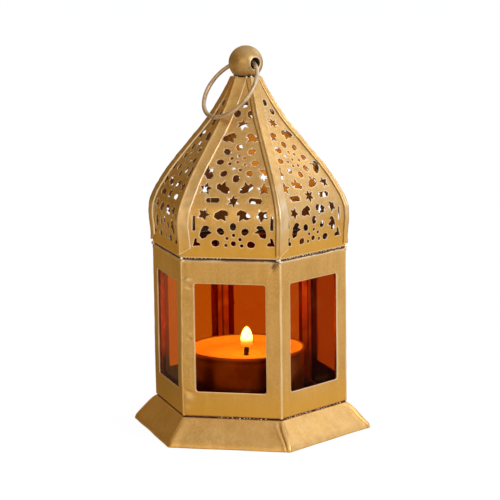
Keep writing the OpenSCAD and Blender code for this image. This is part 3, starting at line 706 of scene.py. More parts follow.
# How far out the left and right edges of the hand-cut windows are, in millimetres
WINDOW_SLIPS = {
    "front": (0.6, -0.1), "front_right": (0.2, 0.3), "front_left": (0.7, -0.3), "rear_left": (0, -2.2),
    "rear_right": (0, -1.3),
}


# Points of a side: how far in from its edges its outer columns stand, and the spaces between the
# others, up those columns, along its ends, over its middle and where it is dented
EDGE_COLUMNS = np.array([0.12, 0.25, 0.4, 0.55, 0.7, 0.85, 1.0, 1.25]) * MM
COLUMN_SPACING = 0.8 * MM
END_SPACING = 0.9 * MM
SIDE_SPACING = 0.7 * MM
DENT_SPACING = 0.3 * MM
# How far those points stay clear of the border: columns at foot and head, rows at left and right, and
# the lattice at the sides and at foot and head
COLUMN_CLEAR_FOOT, COLUMN_CLEAR_HEAD = 0.45 * MM, 0.2 * MM
ROW_CLEAR_LEFT, ROW_CLEAR_RIGHT = 1.5 * MM, 1 * MM
MIDDLE_CLEAR_W, MIDDLE_CLEAR_H = 1.6 * MM, 1.2 * MM
# The dented fields: how far in their middles are from the left and the right edge, half their widths,
# how far the left one stays clear of foot and head, and how far down from the head the right one starts
# and ends
DENTED_LEFT, DENTED_LEFT_HALF, DENTED_LEFT_CLEAR = 2.9 * MM, 1.5 * MM, 1.3 * MM
DENTED_RIGHT, DENTED_RIGHT_HALF = 2.4 * MM, 1.6 * MM
DENTED_RIGHT_HEAD, DENTED_RIGHT_FOOT = 1 * MM, 7 * MM
# Room that the lattice leaves beside and under a dented field
FIELD_SPACE_W, FIELD_SPACE_H = 0.1 * MM, 0.2 * MM


def side_points(half, foot, head, dented):
    """Free points of a side: columns along its edges, rows along its ends and a lattice between them,
    with finer ones in its dented fields."""
    up = np.arange(foot + COLUMN_CLEAR_FOOT, head - COLUMN_CLEAR_HEAD, COLUMN_SPACING)
    columns = np.concatenate([EDGE_COLUMNS - half, half - EDGE_COLUMNS])
    level = np.concatenate([foot + EDGE_COLUMNS[1:5], head - EDGE_COLUMNS[1:5]])
    along = np.arange(ROW_CLEAR_LEFT - half, half - ROW_CLEAR_RIGHT, END_SPACING)
    middle = lattice(half - MIDDLE_CLEAR_W, foot + MIDDLE_CLEAR_H, head - MIDDLE_CLEAR_H, SIDE_SPACING)
    fine = []
    if dented:
        fields = [
            (DENTED_LEFT - half, DENTED_LEFT_HALF, foot + DENTED_LEFT_CLEAR, head - DENTED_LEFT_CLEAR),
            (half - DENTED_RIGHT, DENTED_RIGHT_HALF, head - DENTED_RIGHT_FOOT, head - DENTED_RIGHT_HEAD),
        ]
        for at, reach, lower, upper in fields:
            fine.append(lattice(reach, lower, upper, DENT_SPACING) + [at, 0])
            beside = np.abs(middle[:, 0] - at) < reach + FIELD_SPACE_W
            middle = middle[~(beside & (middle[:, 1] > lower - FIELD_SPACE_H))]
    edges = [np.stack(np.meshgrid(*pair), -1).reshape(-1, 2) for pair in ((columns, up), (along, level))]
    return np.concatenate([*edges, middle, *fine])


# Radii of a side's upright edges and of its ends, how far it is stiff in from them, and how far and
# over what height its upper edge sags
SIDE_EDGE_R, SIDE_END_R = 0.12 * MM, 0.25 * MM
SIDE_STIFF = 4 * MM
SAG, SAG_H = 0.3 * MM, 1.5 * MM
# The space that keeps a side's inner face off the face of its pane
PANE_SPACE = 0.04 * MM
WINDOW_RIM, WINDOW_CHAMFER = 0.25 * MM, 0.09 * MM
# How strong the painted highlight is on a side's upper edge and on the crests of its dents, how dark
# the painted shade in a hollow gets, and how far down from the head the highlight on the edge starts to
# show and is full
EDGE_HIGHLIGHT, CREST_HIGHLIGHT, MOST_DENT_SHADE = 0.5, 1.5, 0.4
HIGHLIGHT_FROM, HIGHLIGHT_TO = 1 * MM, 0.6 * MM


def side_sheet(degrees, half, foot, head, seed, dents=(), slips=(0, 0)):
    """One upright side with its window: rounded at its edges, dented, a little uneven between them,
    with a painted highlight along its upper edge and on the crests of its dents, and painted shade in
    their hollows. Its lips are turned inwards at its foot and head."""
    border = resampled([(-half, foot), (half, foot), (half, head), (-half, head)], SIDE_SPACING)

    def place(u, z, depth):
        left, right, below, above = half + u, half - u, z - foot, head - z
        beside, level = np.minimum(left, right), np.minimum(below, above)
        rise = -rounded(left, SIDE_EDGE_R) - rounded(right, SIDE_EDGE_R)
        rise = rise - rounded(below, SIDE_END_R) - rounded(above, SIDE_END_R)
        sag = (SAG + uneven("side top", u, 0 * z, seed + 7)) * eased(z, head - SAG_H, head)
        loose = eased(beside, 0, SIDE_STIFF) * eased(level, 0, SIDE_STIFF)
        rise = rise + loose * uneven("side", u, z, seed)
        for dent in dents:
            rise = rise - dent[2] * dent_share(u, z, dent) * eased(left, 0, MM)
        out = FLAT + np.where(depth < SHEET / 2, rise, 0) - depth
        return turned(np.stack([out, u * out / FLAT, z - sag], -1), degrees)

    filling = side_points(half, foot, head, len(dents) > 0)
    holes = [window_outline(*slips)]
    sheet = cut_sheet(border, holes, filling, place, SHEET - PANE_SPACE, WINDOW_RIM, WINDOW_CHAMFER)
    flat, inner = turned(sheet.points, -degrees), sheet.marks["inside"]
    across, height = flat[:, 1] * FLAT / flat[:, 0], flat[:, 2]
    # Painted highlight along the upper edge
    wear_and_highlight = EDGE_HIGHLIGHT + uneven("side highlight", across, height, seed + 4)
    wear_and_highlight = wear_and_highlight * eased(height, head - HIGHLIGHT_FROM, head - HIGHLIGHT_TO)
    dent_shade = np.zeros(len(flat))
    for dent in dents:
        depth = dent[2] / MM * dent_share(across, height, dent)
        # Painted shade in a dent's hollow, painted highlight on its crest
        dent_shade += np.maximum(depth, 0)
        wear_and_highlight += np.maximum(-CREST_HIGHLIGHT * depth, 0)
    sheet.marks["cut"] = np.maximum(sheet.marks["cut"], wear_and_highlight * (1 - inner))
    sheet.marks["inside"] = np.maximum(inner, np.clip(dent_shade, 0, MOST_DENT_SHADE))
    return joined([sheet, *(side_lip(degrees, half, z) for z in (foot, head - SHEET))])


# How deep in the sheet a lip starts
LIP_ROOT_SHARE = 0.9


def side_lip(degrees, half, z):
    """A lip turned inwards at a side's foot or head: a flat strip above a height, with mitred ends."""
    reach = np.array([FLAT - LIP_ROOT_SHARE * SHEET, FLAT - LIP_W])[:, None]
    across = np.linspace(-1, 1, 12) * half / FLAT
    upper = np.stack(np.broadcast_arrays(reach, reach * across, z + SHEET), -1)
    return slab(turned(upper, degrees), turned(upper - [0, 0, SHEET], degrees), inside=1.0)


# The folded corners: their radius, how far they stand proud, and how bright they are rubbed, with a
# painted highlight that is strongest between the front and the front right. The left one bows by BOW
# round a height.
CORNER_R = 0.5 * MM
CORNER_PROUD = 0.1 * MM
CORNER_WEAR_AND_HIGHLIGHT, FRONT_CORNER_HIGHLIGHT = 0.12, 0.5
BOW, BOW_Z, BOW_REACH = 0.38 * MM, 24 * MM, 15 * MM
# How far above the foot of the sides they start, and how far below their head they end
CORNER_CLEAR_FOOT, CORNER_CLEAR_HEAD = 0.05 * MM, 0.45 * MM


def corner_folds(seed):
    """The rounded corners of the body, except beside the door: an upright bar of radius CORNER_R that
    stands a little proud of the two sides it joins, with slow kinks, rubbed bright in patches and given a
    painted highlight."""
    folds = []
    z = np.linspace(SIDE_Z + CORNER_CLEAR_FOOT, SEAM_Z - CORNER_CLEAR_HEAD, 70)
    for number, side in enumerate(("front", "front_right", "rear_left", "front_left"), seed):
        radial, along, _ = turned(np.eye(3), FACES[side] + math.degrees(HALF))
        out = SIDE - CORNER_R / math.cos(HALF) + CORNER_PROUD + uneven("corner reach", z, 0, number)
        slip = uneven("corner slip", z, 0, number + 10)
        if side == "front_left":
            slip -= BOW * bump(z, BOW_Z, BOW_REACH)
        path = out[:, None] * radial + slip[:, None] * along
        path[:, 2] = z
        radius = CORNER_R * (1 + uneven("corner radius", z, 0, number + 20))
        fold = rod(path, radius, np.tile(radial, (len(z), 1)), 24)
        # Painted highlight, strongest on the front corner, over rubbed wear
        bright = FRONT_CORNER_HIGHLIGHT if side == "front" else CORNER_WEAR_AND_HIGHLIGHT
        rubbed_and_highlight = bright + uneven("corner wear and highlight", fold.points[:, 2], 0, number + 30)
        folds.append(Shape(fold.points, fold.faces, cut=np.clip(rubbed_and_highlight, 0, 1)))
    return joined(folds)


# The skirt


# Rounding of the skirt's foot, of the bend at its top, which starts inside the flat of the sides, and
# of its corners
SKIRT_FOOT_R = 0.4 * MM
SKIRT_TOP_R = 0.6 * MM
SKIRT_TOP_IN = 0.15 * MM
SKIRT_CORNER_R = 0.55 * MM
# Where the slope starts, from the outer edge of the foot, and ends, from the foot of the sides
SLOPE_FOOT = np.array([-0.12, 1.1]) * MM
SLOPE_TOP = np.array([0.45, -0.45]) * MM
INNER_POINTS = 5


def skirt_profile():
    """Section of the skirt as distance out and height, from the hem up the outside and back down
    within, with a weight for each point that is 1 where creases show. The last INNER_POINTS are inside."""
    rise, run = SKIRT_Z - SKIRT_EDGE_H, SKIRT_FLAT - FLAT
    wall = SHEET * math.hypot(rise, run) / rise
    start, end = SLOPE_FOOT + [SKIRT_FLAT, 0], SLOPE_TOP + [FLAT, SKIRT_Z]
    parts = [
        (np.array([[SKIRT_FLAT - HEM_W, 0.0]]), 0),
        (arc(SKIRT_FLAT - SKIRT_FOOT_R, SKIRT_FOOT_R, SKIRT_FOOT_R, 270, 385, 8), 1),
        (start + np.linspace(0, 1, 15)[1:-1, None] * (end - start), 1),
        (arc(FLAT - SKIRT_TOP_IN, SKIRT_Z - SKIRT_TOP_R, SKIRT_TOP_R, 35, 90, 5), 0.4),
        (np.array([
            [FLAT - SKIRT_LEDGE_W, SKIRT_Z], [FLAT - SKIRT_LEDGE_W, SKIRT_Z - SHEET],
            [FLAT + SHEET * run / rise - wall, SKIRT_Z - SHEET], [SKIRT_FLAT - wall, SKIRT_EDGE_H],
            [SKIRT_FLAT - wall, SHEET], [SKIRT_FLAT - HEM_W, SHEET],
        ]), 0),
    ]
    return np.concatenate([p for p, _ in parts]), np.concatenate([np.full(len(p), w) for p, w in parts])


# Creases in the lap at each corner of the skirt: distance from the corner at the top and at the foot,
# width and height
SKIRT_CREASES = np.array([
    (0.1, 0.3, 0.3, 0.27), (1.3, 0.75, 0.33, -0.2), (2.4, 1.3, 0.45, 0.09), (3.4, 5.2, 1.0, 0.04),
]) * MM


# Shares of the way along a side of the skirt where its points are: even, then closer up to the corner,
# where the last four turn the corner by 12 degrees each
SKIRT_WALK_SHARES = np.concatenate([
    np.linspace(0, 0.84, 30, endpoint=False), np.linspace(0.84, 1, 26), np.ones(4),
])
SKIRT_CORNER_STEP = 12.0
# The skirt's front left side is plainer: shares of the others' creases and of their puffed corners
PLAIN_CREASE_SHARE, PLAIN_PUFF_SHARE = 0.25, 0.2
# The lap past each corner, as distance, width and height; how far the corners are puffed out, over what
# reach before and past them and how much less past them; where the sides are stiff, and their most rise
LAP = np.array([1.2, 0.9, 0.12]) * MM
PUFF = 0.6 * MM
PUFF_BEFORE, PUFF_PAST, PUFF_PAST_SHARE = 3.5 * MM, 2.5 * MM, 0.6
SKIRT_STIFF = 5 * MM
MOST_RISE = 1 * MM


def skirt():
    """The skirt: a plan path round six sides with rounded corners. At distance out d its points are
    (d - r) c + r n, where c goes round a hexagon of unit apothem, n is the direction faced and r is
    the corner radius. The laps at the corners and a slow unevenness move the outside along n."""
    side = np.repeat(np.arange(len(FACES)), len(SKIRT_WALK_SHARES))
    gone = np.tile(SKIRT_WALK_SHARES, len(FACES))
    to_go = 1 - gone
    degrees = np.array(list(FACES.values()))
    corner_turn = np.cumsum(SKIRT_WALK_SHARES >= 1) - 1
    corner_turn = SKIRT_CORNER_STEP * np.tile(np.maximum(corner_turn, 0), len(FACES))
    faced, square = np.radians(degrees[side]), np.radians(degrees[side] + corner_turn)
    faced, square = (np.stack([np.cos(a), np.sin(a)], -1) for a in (faced, square))
    along = np.stack([-faced[:, 1], faced[:, 0]], -1)
    unit = faced + math.tan(HALF) * (2 * gone[:, None] - 1) * along
    profile, weight = skirt_profile()
    out, z = profile[:, :1], profile[:, 1:] * np.ones(len(gone))
    length = 2 * math.tan(HALF) * out
    from_corner, past_corner = to_go * length, gone * length
    share = np.clip((SKIRT_Z - z) / SKIRT_Z, 0, 1)
    plain = side == list(FACES).index("front_left")
    crisp = np.where(plain, PLAIN_CREASE_SHARE, 1.0)
    rise = np.zeros(z.shape)
    for top, foot, width, height in SKIRT_CREASES:
        wander = uneven("skirt crease", z, side * 0.1, 71)
        rise += height * crisp * bump(from_corner, top + (foot - top) * share + wander, width)
    rise += LAP[2] * crisp * bump(past_corner, LAP[0], LAP[1])
    puffed = PUFF * np.where(plain, PLAIN_PUFF_SHARE, 1.0) * np.sin(np.pi * share) ** 0.8
    past = PUFF_PAST_SHARE * bump(past_corner, 0, PUFF_PAST)
    rise += puffed * (bump(from_corner, 0, PUFF_BEFORE) + past)
    loose = eased(from_corner, 0, SKIRT_STIFF) * eased(past_corner, 0, SKIRT_STIFF)
    rise += loose * uneven("skirt", past_corner + side * 0.05, z, 72)
    moved = SKIRT_CORNER_R + np.minimum(rise * weight[:, None], MOST_RISE)
    reach = (out - SKIRT_CORNER_R)[..., None] * unit + moved[..., None] * square
    points = np.concatenate([reach, z[..., None]], -1)
    inner = np.repeat(np.arange(len(profile)) >= len(profile) - INNER_POINTS, len(gone)).astype(float)
    return Shape(points, [grid_faces(*z.shape, True, True)], inside=inner)


SPECK = lump(0.5, 2.6, 5, 8)
DROP = lump(0.35, 2.8, 9, 16)
# Least and largest radii of the lumps of solder: specks along a seam, lumps at a corner of the body and
# drops under the ball
SPECK_SIZES = np.array([(0.16, 0.13, 0.14), (0.42, 0.21, 0.2)]) * MM
CORNER_LUMP_SIZES = np.array([(0.5, 0.5, 0.45), (0.9, 0.9, 0.9)]) * MM
BALL_DROP_SIZES = np.array([(0.45, 0.5, 0.4), (0.75, 1.2, 0.7)]) * MM
# Specks: how far they drift up or down and stand in or out, and the least and mean further gap between
SPECK_DRIFT = 0.05 * MM
SPECK_OUT = np.array([-0.05, 0.08]) * MM
SPECK_GAP, SPECK_FURTHER = 0.3 * MM, 0.5 * MM
# Lumps at a corner: how far above the seam each is, how much smaller one is for each millimetre down,
# how far in and to either side of the corner it is, and how much less to the side for each millimetre
CORNER_LUMPS = (0.2, -0.6, -1.3, -2.2)
LUMP_SHRINK, LUMP_IN, LUMP_ASIDE, LUMP_NARROW = 0.2, 0.4, 0.8, 0.4


def seam_beads(z, out, runs, seed):
    """Specks of solder along a seam: small flattened balls set out along some runs of each side, each
    run given as a side's name, and the shares of the side's length where it starts and ends."""
    rng = np.random.default_rng(seed)
    beads = []
    for side, start, end in runs:
        at = start * SIDE
        while at < end * SIDE:
            size = rng.uniform(*SPECK_SIZES)
            place = at - SIDE / 2, z + rng.normal(0, SPECK_DRIFT)
            beads.append(on_face(SPECK.sized(size), FACES[side], out + rng.uniform(*SPECK_OUT), *place))
            at += size[0] * 2 + SPECK_GAP + rng.exponential(SPECK_FURTHER)
    return joined(beads)


def corner_blobs(z, seed):
    """Solder where a seam meets each corner: four lumps run together, smaller and nearer the corner
    the lower they are."""
    rng = np.random.default_rng(seed)
    blobs = []
    for degrees in FACES.values():
        corner = turned(np.array([SIDE, 0, 0]), degrees + 30)
        for above in CORNER_LUMPS:
            size = rng.uniform(*CORNER_LUMP_SIZES) * (1 + LUMP_SHRINK * above)
            aside = rng.uniform(-LUMP_ASIDE, LUMP_ASIDE) * (1 + LUMP_NARROW * above)
            shift = turned(np.array([-LUMP_IN, aside, 0]) * MM, degrees + 30)
            blobs.append(DROP.sized(size).at(corner + shift + [0, 0, z + above * MM]))
    return joined(blobs)


BALL_SOLDER_R = 3.95 * MM
BALL_SOLDER_SUNK = 0.05 * MM
# Least and most degrees from one drop to the next, and the number of drops
BALL_DROP_STEPS = 20, 62
BALL_DROPS = 9


def ball_blobs(seed):
    """Lumps of solder round the foot of the ball: flattened drops of uneven size along its contact
    with the cap."""
    rng = np.random.default_rng(seed)
    blobs = []
    for angle in np.cumsum(rng.uniform(*BALL_DROP_STEPS, BALL_DROPS)):
        drop = DROP.sized(rng.uniform(*BALL_DROP_SIZES))
        radial, across, up = turned(np.eye(3), angle)
        place = radial * BALL_SOLDER_R + up * (DOME_TOP_Z - BALL_SOLDER_SUNK)
        blobs.append(drop.at(place, radial, across, up))
    return joined(blobs)


# Finial and ring


BALL_LIP_R = 0.3 * MM
# Where the painted highlight round the lip is, past the hole's radius, and over what width; and how far
# above the cap the painted shade on the ball starts to fade and is gone
LIP_HIGHLIGHT_OUT, LIP_HIGHLIGHT_W = 0.22 * MM, 0.25 * MM
FOOT_SHADE_FROM, FOOT_SHADE_TO = 0.3 * MM, 1.1 * MM
BORE_PLAY = 0.02 * MM


def finial():
    """The ball, spun about its hole: an arc of the ball, a rounded lip and the wall of the hole. It is
    uneven by 1 in 100, flattened where it sits on the cap, with painted shade there and in the hole, and
    a painted highlight round its lip."""
    lip_out = BALL_BORE_R + BALL_LIP_R
    edge = math.asin(lip_out / BALL_R)
    a = np.linspace(edge, math.pi - edge, 60)
    outer = np.stack([BALL_R * np.sin(a), -BALL_R * np.cos(a)], -1)
    h = BALL_R * math.cos(edge)
    upper = arc(lip_out, h - BALL_LIP_R, BALL_LIP_R, 75, 180, 5)
    lower = arc(lip_out, BALL_LIP_R - h, BALL_LIP_R, 180, 285, 5)
    wall = np.linspace(h - 2 * BALL_LIP_R, 2 * BALL_LIP_R - h, 8)
    wall = np.stack([np.full(8, BALL_BORE_R), wall], -1)
    shape = spun(np.concatenate([outer, upper, wall, lower]), 96, hoop=True)
    bore = np.array(JOINTS["ring_swing"]["axis"])
    shape = shape.at((0, 0, 0), np.cross((0, 0, 1), bore), (0, 0, 1), -bore)
    p = shape.points
    reach = np.linalg.norm(p, axis=1)
    dent = uneven("ball", p[:, 0] + p[:, 1], p[:, 2], 31) * (reach > 0.8 * BALL_R)
    bore_reach = np.linalg.norm(np.cross(p, bore), axis=1)
    p = p * (1 - np.abs(dent) / reach)[:, None] + BALL
    p[:, 2] = np.maximum(p[:, 2], low("finial_ball")[2])
    hollow = bore_reach < BALL_BORE_R + BORE_PLAY
    # Painted highlight round the lip, and painted shade at the foot and in the bore
    lip_highlight = bump(bore_reach, BALL_BORE_R + LIP_HIGHLIGHT_OUT, LIP_HIGHLIGHT_W) * ~hollow
    foot_shade = 0.9 * (1 - eased(p[:, 2], DOME_TOP_Z + FOOT_SHADE_FROM, DOME_TOP_Z + FOOT_SHADE_TO))
    return Shape(p, shape.faces, cut=0.8 * lip_highlight, inside=np.maximum(hollow, foot_shade))


# Where the bent wire starts and ends round its circle, in degrees from the ball; angles from the ball
# between which it comes to be bent out of true; and its radius as a share of the plain wire's
WIRE_FROM, WIRE_TO = 181.4, 538.6
TRUE_TO, BENT_FROM = 0.5, 1.2
WIRE_SHARE = 0.97


def wire_ring():
    """The bent wire: a circle of radius RING_R through the ball in the plane that it hangs in, with
    its two ends meeting away from the ball, and slow kinks in and out of the circle and its plane."""
    hub = centre("carrying_ring")
    down = (hub - BALL) / np.linalg.norm(hub - BALL)
    along = np.array(JOINTS["ring_swing"]["axis"])
    a = np.radians(np.linspace(WIRE_FROM, WIRE_TO, 150))[:, None]
    arc_length = a * 10 * MM
    across = along * np.sin(a) - down * np.cos(a)
    free = eased(np.abs(np.arctan2(np.sin(a), np.cos(a))), TRUE_TO, BENT_FROM)
    kink = uneven("ring", arc_length, 0, 41) * free
    path = hub + across * (RING_R + kink) + np.cross(along, down) * 0.6 * kink
    return rod(path, WIRE_R * WIRE_SHARE * (1 + uneven("ring radius", arc_length[:, 0], 0, 42)), across)


# Door fittings


def stadium(length, width):
    """Outline of a bar with round ends, upright, with its lower end's centre at the origin."""
    r = width / 2
    return np.concatenate([arc(0, length - width, r, 0, 180, 14), arc(0, 0, r, 180, 360, 14)])


BUTTON_T = 0.7 * MM
BUTTON_W = 3.4 * MM
BUTTON_HOLE_D = 1.7 * MM
BUTTON_SPACING = 0.5 * MM
BUTTON_RIM, BUTTON_CHAMFER = 0.2 * MM, 0.12 * MM


def turn_button():
    """The flat button on its rivet, cut with a round hole and with softened edges."""
    degrees = FACES["rear_left"]
    n, along, _ = turned(np.eye(3), degrees)
    out, u = centre("turn_button") @ n + BUTTON_T / 2, centre("turn_button") @ along
    length, foot = extent("turn_button")[2], low("turn_button")[2] + BUTTON_W / 2

    def place(x, y, depth):
        dish = uneven("button", x, y, 51) * (depth < BUTTON_T / 2)
        return turned(np.stack([out - depth + dish, x + u, y + foot], -1), degrees)

    filling = lattice(BUTTON_W / 2, -BUTTON_W, length, BUTTON_SPACING)
    border, holes = stadium(length, BUTTON_W), [round_hole(BUTTON_HOLE_D, 24)]
    return cut_sheet(border, holes, filling, place, BUTTON_T, BUTTON_RIM, BUTTON_CHAMFER)


RIVET_HEAD_OUT = 0.9 * MM
RIVET_SHANK_R, RIVET_HEAD_R = 0.8 * MM, 1.5 * MM
# The rivet's dome: its radius and how far its centre is sunk
RIVET_DOME_R, RIVET_DOME_SUNK = 2.1 * MM, 1.6 * MM


def rivet():
    """The rivet of the turn button: a shank and a domed head."""
    degrees = FACES["rear_left"]
    u, head_out = centre("button_rivet") @ turned(np.eye(3), degrees)[1], FLAT + RIVET_HEAD_OUT
    start = FLAT - SHEET - head_out
    dome = arc(0, -RIVET_DOME_SUNK, RIVET_DOME_R, 45, 90, 8)
    profile = [(0, start), (RIVET_SHANK_R, start), (RIVET_SHANK_R, 0)]
    profile += [(RIVET_HEAD_R - 0.1 * MM, 0), (RIVET_HEAD_R, 0.08 * MM), *dome[1:-1], (0, dome[-1][1])]
    return on_face(spun(profile, 32), degrees, head_out, u, centre("button_rivet")[2])


def knob():
    """The door's pull: a turned neck, a bead and a low button top."""
    length, r = extent("door_knob")[1], extent("door_knob")[0] / 2
    neck = 0.6 * r
    profile = [(0, 0), (neck * 1.25, 0), (neck * 1.05, 0.15 * length), (neck, 0.35 * length)]
    profile += [*arc(r * 0.72, length * 0.72, r * 0.28, -80, 40, 7)]
    profile += [(0.6 * r, 0.97 * length), (0.3 * r, length), (0, length)]
    middle = centre("door_knob")
    return on_face(spun(profile, 36), FACES["rear"], low("door_knob")[1], -middle[0], middle[2])


# Candle


CUP_FOIL = 0.4 * MM
CUP_FOOT_R = 1.2 * MM
CUP_SUNK = 0.25 * MM
# Where the plain wall starts above the foot and ends below the rim, where the rim's inside ends below
# it, and how far below it the painted highlight on the rim starts to show and is full
CUP_WALL_FROM, CUP_WALL_TO = 2 * MM, 2.7 * MM
CUP_RIM_IN = 0.6 * MM
CUP_HIGHLIGHT_FROM, CUP_HIGHLIGHT_TO = 1.15 * MM, 0.85 * MM
# The bead under the rim: distances below the rim, and reach past the wall
CUP_BEAD = np.array([(2.3, -0.2), (2.0, -0.2), (1.7, 0.1), (1.1, 0.1)]) * MM


def candle_cup():
    """The pressed cup: a foot with a sunk ring, a wall with a shallow bead under the rolled rim, and
    the inside of the wall down to the floor of the cup."""
    height, wall_r, rim_r = extent("candle_cup")[2], WAX_R + CUP_FOIL, CUP_RIM_H / 2
    profile = [(0, CUP_SUNK), (0.7 * wall_r, CUP_SUNK), (0.76 * wall_r, 0), (wall_r - CUP_FOOT_R, 0)]
    profile += [*arc(wall_r - CUP_FOOT_R, CUP_FOOT_R, CUP_FOOT_R, 280, 355, 5)]
    profile += [(wall_r, z) for z in np.linspace(CUP_WALL_FROM, height - CUP_WALL_TO, 8)]
    profile += [(wall_r + reach, height - below) for below, reach in CUP_BEAD]
    profile += [*arc(CUP_R - rim_r, height - rim_r, rim_r, -80, 150, 12)]
    profile += [(WAX_R, z) for z in np.linspace(height - CUP_RIM_IN, CUP_FOIL, 8)] + [(0, CUP_FOIL)]
    cup = spun(profile, 128)
    # Painted highlight on the rolled rim
    rim_highlight = eased(cup.points[:, 2], height - CUP_HIGHLIGHT_FROM, height - CUP_HIGHLIGHT_TO)
    return Shape(cup.points, cup.faces, cut=rim_highlight).at([*CANDLE[:2], low("candle_cup")[2]])


WAX_DEPTH = 6 * MM
# The film on the wall: how far below the cup's top it ends, how fast it falls off, and the width beside
# the wall where the wax has close rings
FILM_BELOW, FILM_W, FILM_RINGS_W = 0.25 * MM, 0.5 * MM, 2.4 * MM
# The pool round the wick: its depth, where it starts to rise and is level, and its raised edge
POOL_DEPTH, POOL_FROM, POOL_TO = 0.25 * MM, 1.2 * MM, 5 * MM
POOL_EDGE, POOL_EDGE_R, POOL_EDGE_W = 0.2 * MM, 4.4 * MM, 0.8 * MM


def wax():
    """The wax: its top dips by a small pool round the wick, and climbs the cup's wall as a film."""
    climb = high("candle_cup")[2] - FILM_BELOW - WAX_Z
    rings = np.linspace(FILM_RINGS_W, 0, 25)[1:]
    r = np.concatenate([np.linspace(0, WAX_R - FILM_RINGS_W, 30)[1:], WAX_R - rings])
    film = climb * np.exp(-((WAX_R - r) / FILM_W) ** 1.2)
    pool = POOL_DEPTH * (1 - eased(r, POOL_FROM, POOL_TO)) - POOL_EDGE * bump(r, POOL_EDGE_R, POOL_EDGE_W)
    top = film - pool
    profile = [(0, -WAX_DEPTH), (WAX_R * 0.99, -WAX_DEPTH), *zip(r[::-1], top[::-1]), (0, top[0])]
    shape = spun(profile, 128)
    x, y, z = shape.points.T
    rise = uneven("wax", x, y, 61) + uneven("wax grain", x, y, 63)
    shape.points[:, 2] += rise * (z > -MM) * (np.hypot(x, y) < WAX_R - MM)
    return shape.at([*CANDLE[:2], WAX_Z])


# The wick: how deep in the wax it starts, how far short of the CAD wick it ends, and its bend at the tip
WICK_ROOT, WICK_SHORT, WICK_BEND = 3 * MM, 0.7 * MM, 0.3 * MM


def wick():
    """The wick: a bar from inside the wax that bends a little and thickens to a charred tip."""
    t = np.linspace(0, 1, 26)
    height = (WAX_Z - WICK_ROOT) * (1 - t) + (WICK_Z - WICK_SHORT) * t
    path = np.stack([WICK_BEND * t**2, 0 * t, height], -1)
    char = 1 + uneven("wick radius", t * 10 * MM, 0, 62) + 0.1 * eased(t, 0.6, 0.85)
    shape = rod(path, WICK_R * 0.95 * char, np.tile([0.0, 1.0, 0.0], (26, 1)), 12)
    return shape.at([*CANDLE[:2], 0])


FLAME_H = 7.3 * MM
FLAME_R = 2.1 * MM
# Share of its height at which the flame is widest, how much narrower it starts, how far it leans and
# stands off the wick's axis, and how far below the wick's tip it starts
WIDEST_SHARE = 0.25
NARROWER_SHARE = 0.22
FLAME_LEAN = 0.15 * MM
FLAME_OFF = 0.25 * MM
FLAME_SUNK = 0.75 * MM


def flame(grow):
    """The flame: a blunt drop. Above its widest place, at a quarter of its height, its radius is
    R (1 - s^2)^0.6 at a share s of the way to its tip. It is marked with the share of its height."""
    t = np.linspace(0, 1, 44)
    s = np.clip((t - WIDEST_SHARE) / (1 - WIDEST_SHARE), 0, 1)
    below = 1 - NARROWER_SHARE * np.clip((WIDEST_SHARE - t) / WIDEST_SHARE, 0, 1) ** 2
    r = FLAME_R * grow * (1 - s * s) ** 0.6 * below
    t, r = np.concatenate([[0], t]), np.concatenate([[0], r])
    r[-1] = 0
    height = FLAME_H * grow
    shape = spun(np.stack([r, height * t], -1), 40)
    lift = shape.points[:, 2] / height
    shape.points[:, 0] += FLAME_LEAN * lift
    start = WICK_Z - FLAME_SUNK + (1 - grow) * 0.5 * FLAME_H
    return Shape(shape.points, shape.faces, height=lift).at([CANDLE[0] + FLAME_OFF, CANDLE[1], start])


# Materials


class Value:
    """A number that changes over a surface. Arithmetic on it adds Math nodes to its finish."""

    def __init__(self, finish, socket):
        self.finish = finish
        self.socket = socket

    def __add__(self, other):
        return self.finish.math("ADD", self, other)

    def __sub__(self, other):
        return self.finish.math("SUBTRACT", self, other)

    def __rsub__(self, other):
        return self.finish.math("SUBTRACT", other, self)

    def __mul__(self, other):
        return self.finish.math("MULTIPLY", self, other)

    def __pow__(self, other):
        return self.finish.math("POWER", self, other)

    __radd__ = __add__
    __rmul__ = __mul__

    def between(self, start, end):
        """A smooth step from 0 where the value is at start to 1 where it is at end."""
        sockets = {"Value": self, "From Min": start, "From Max": end, "To Min": 0.0, "To Max": 1.0}
        return self.finish.add("ShaderNodeMapRange", {"interpolation_type": "SMOOTHSTEP"}, sockets)


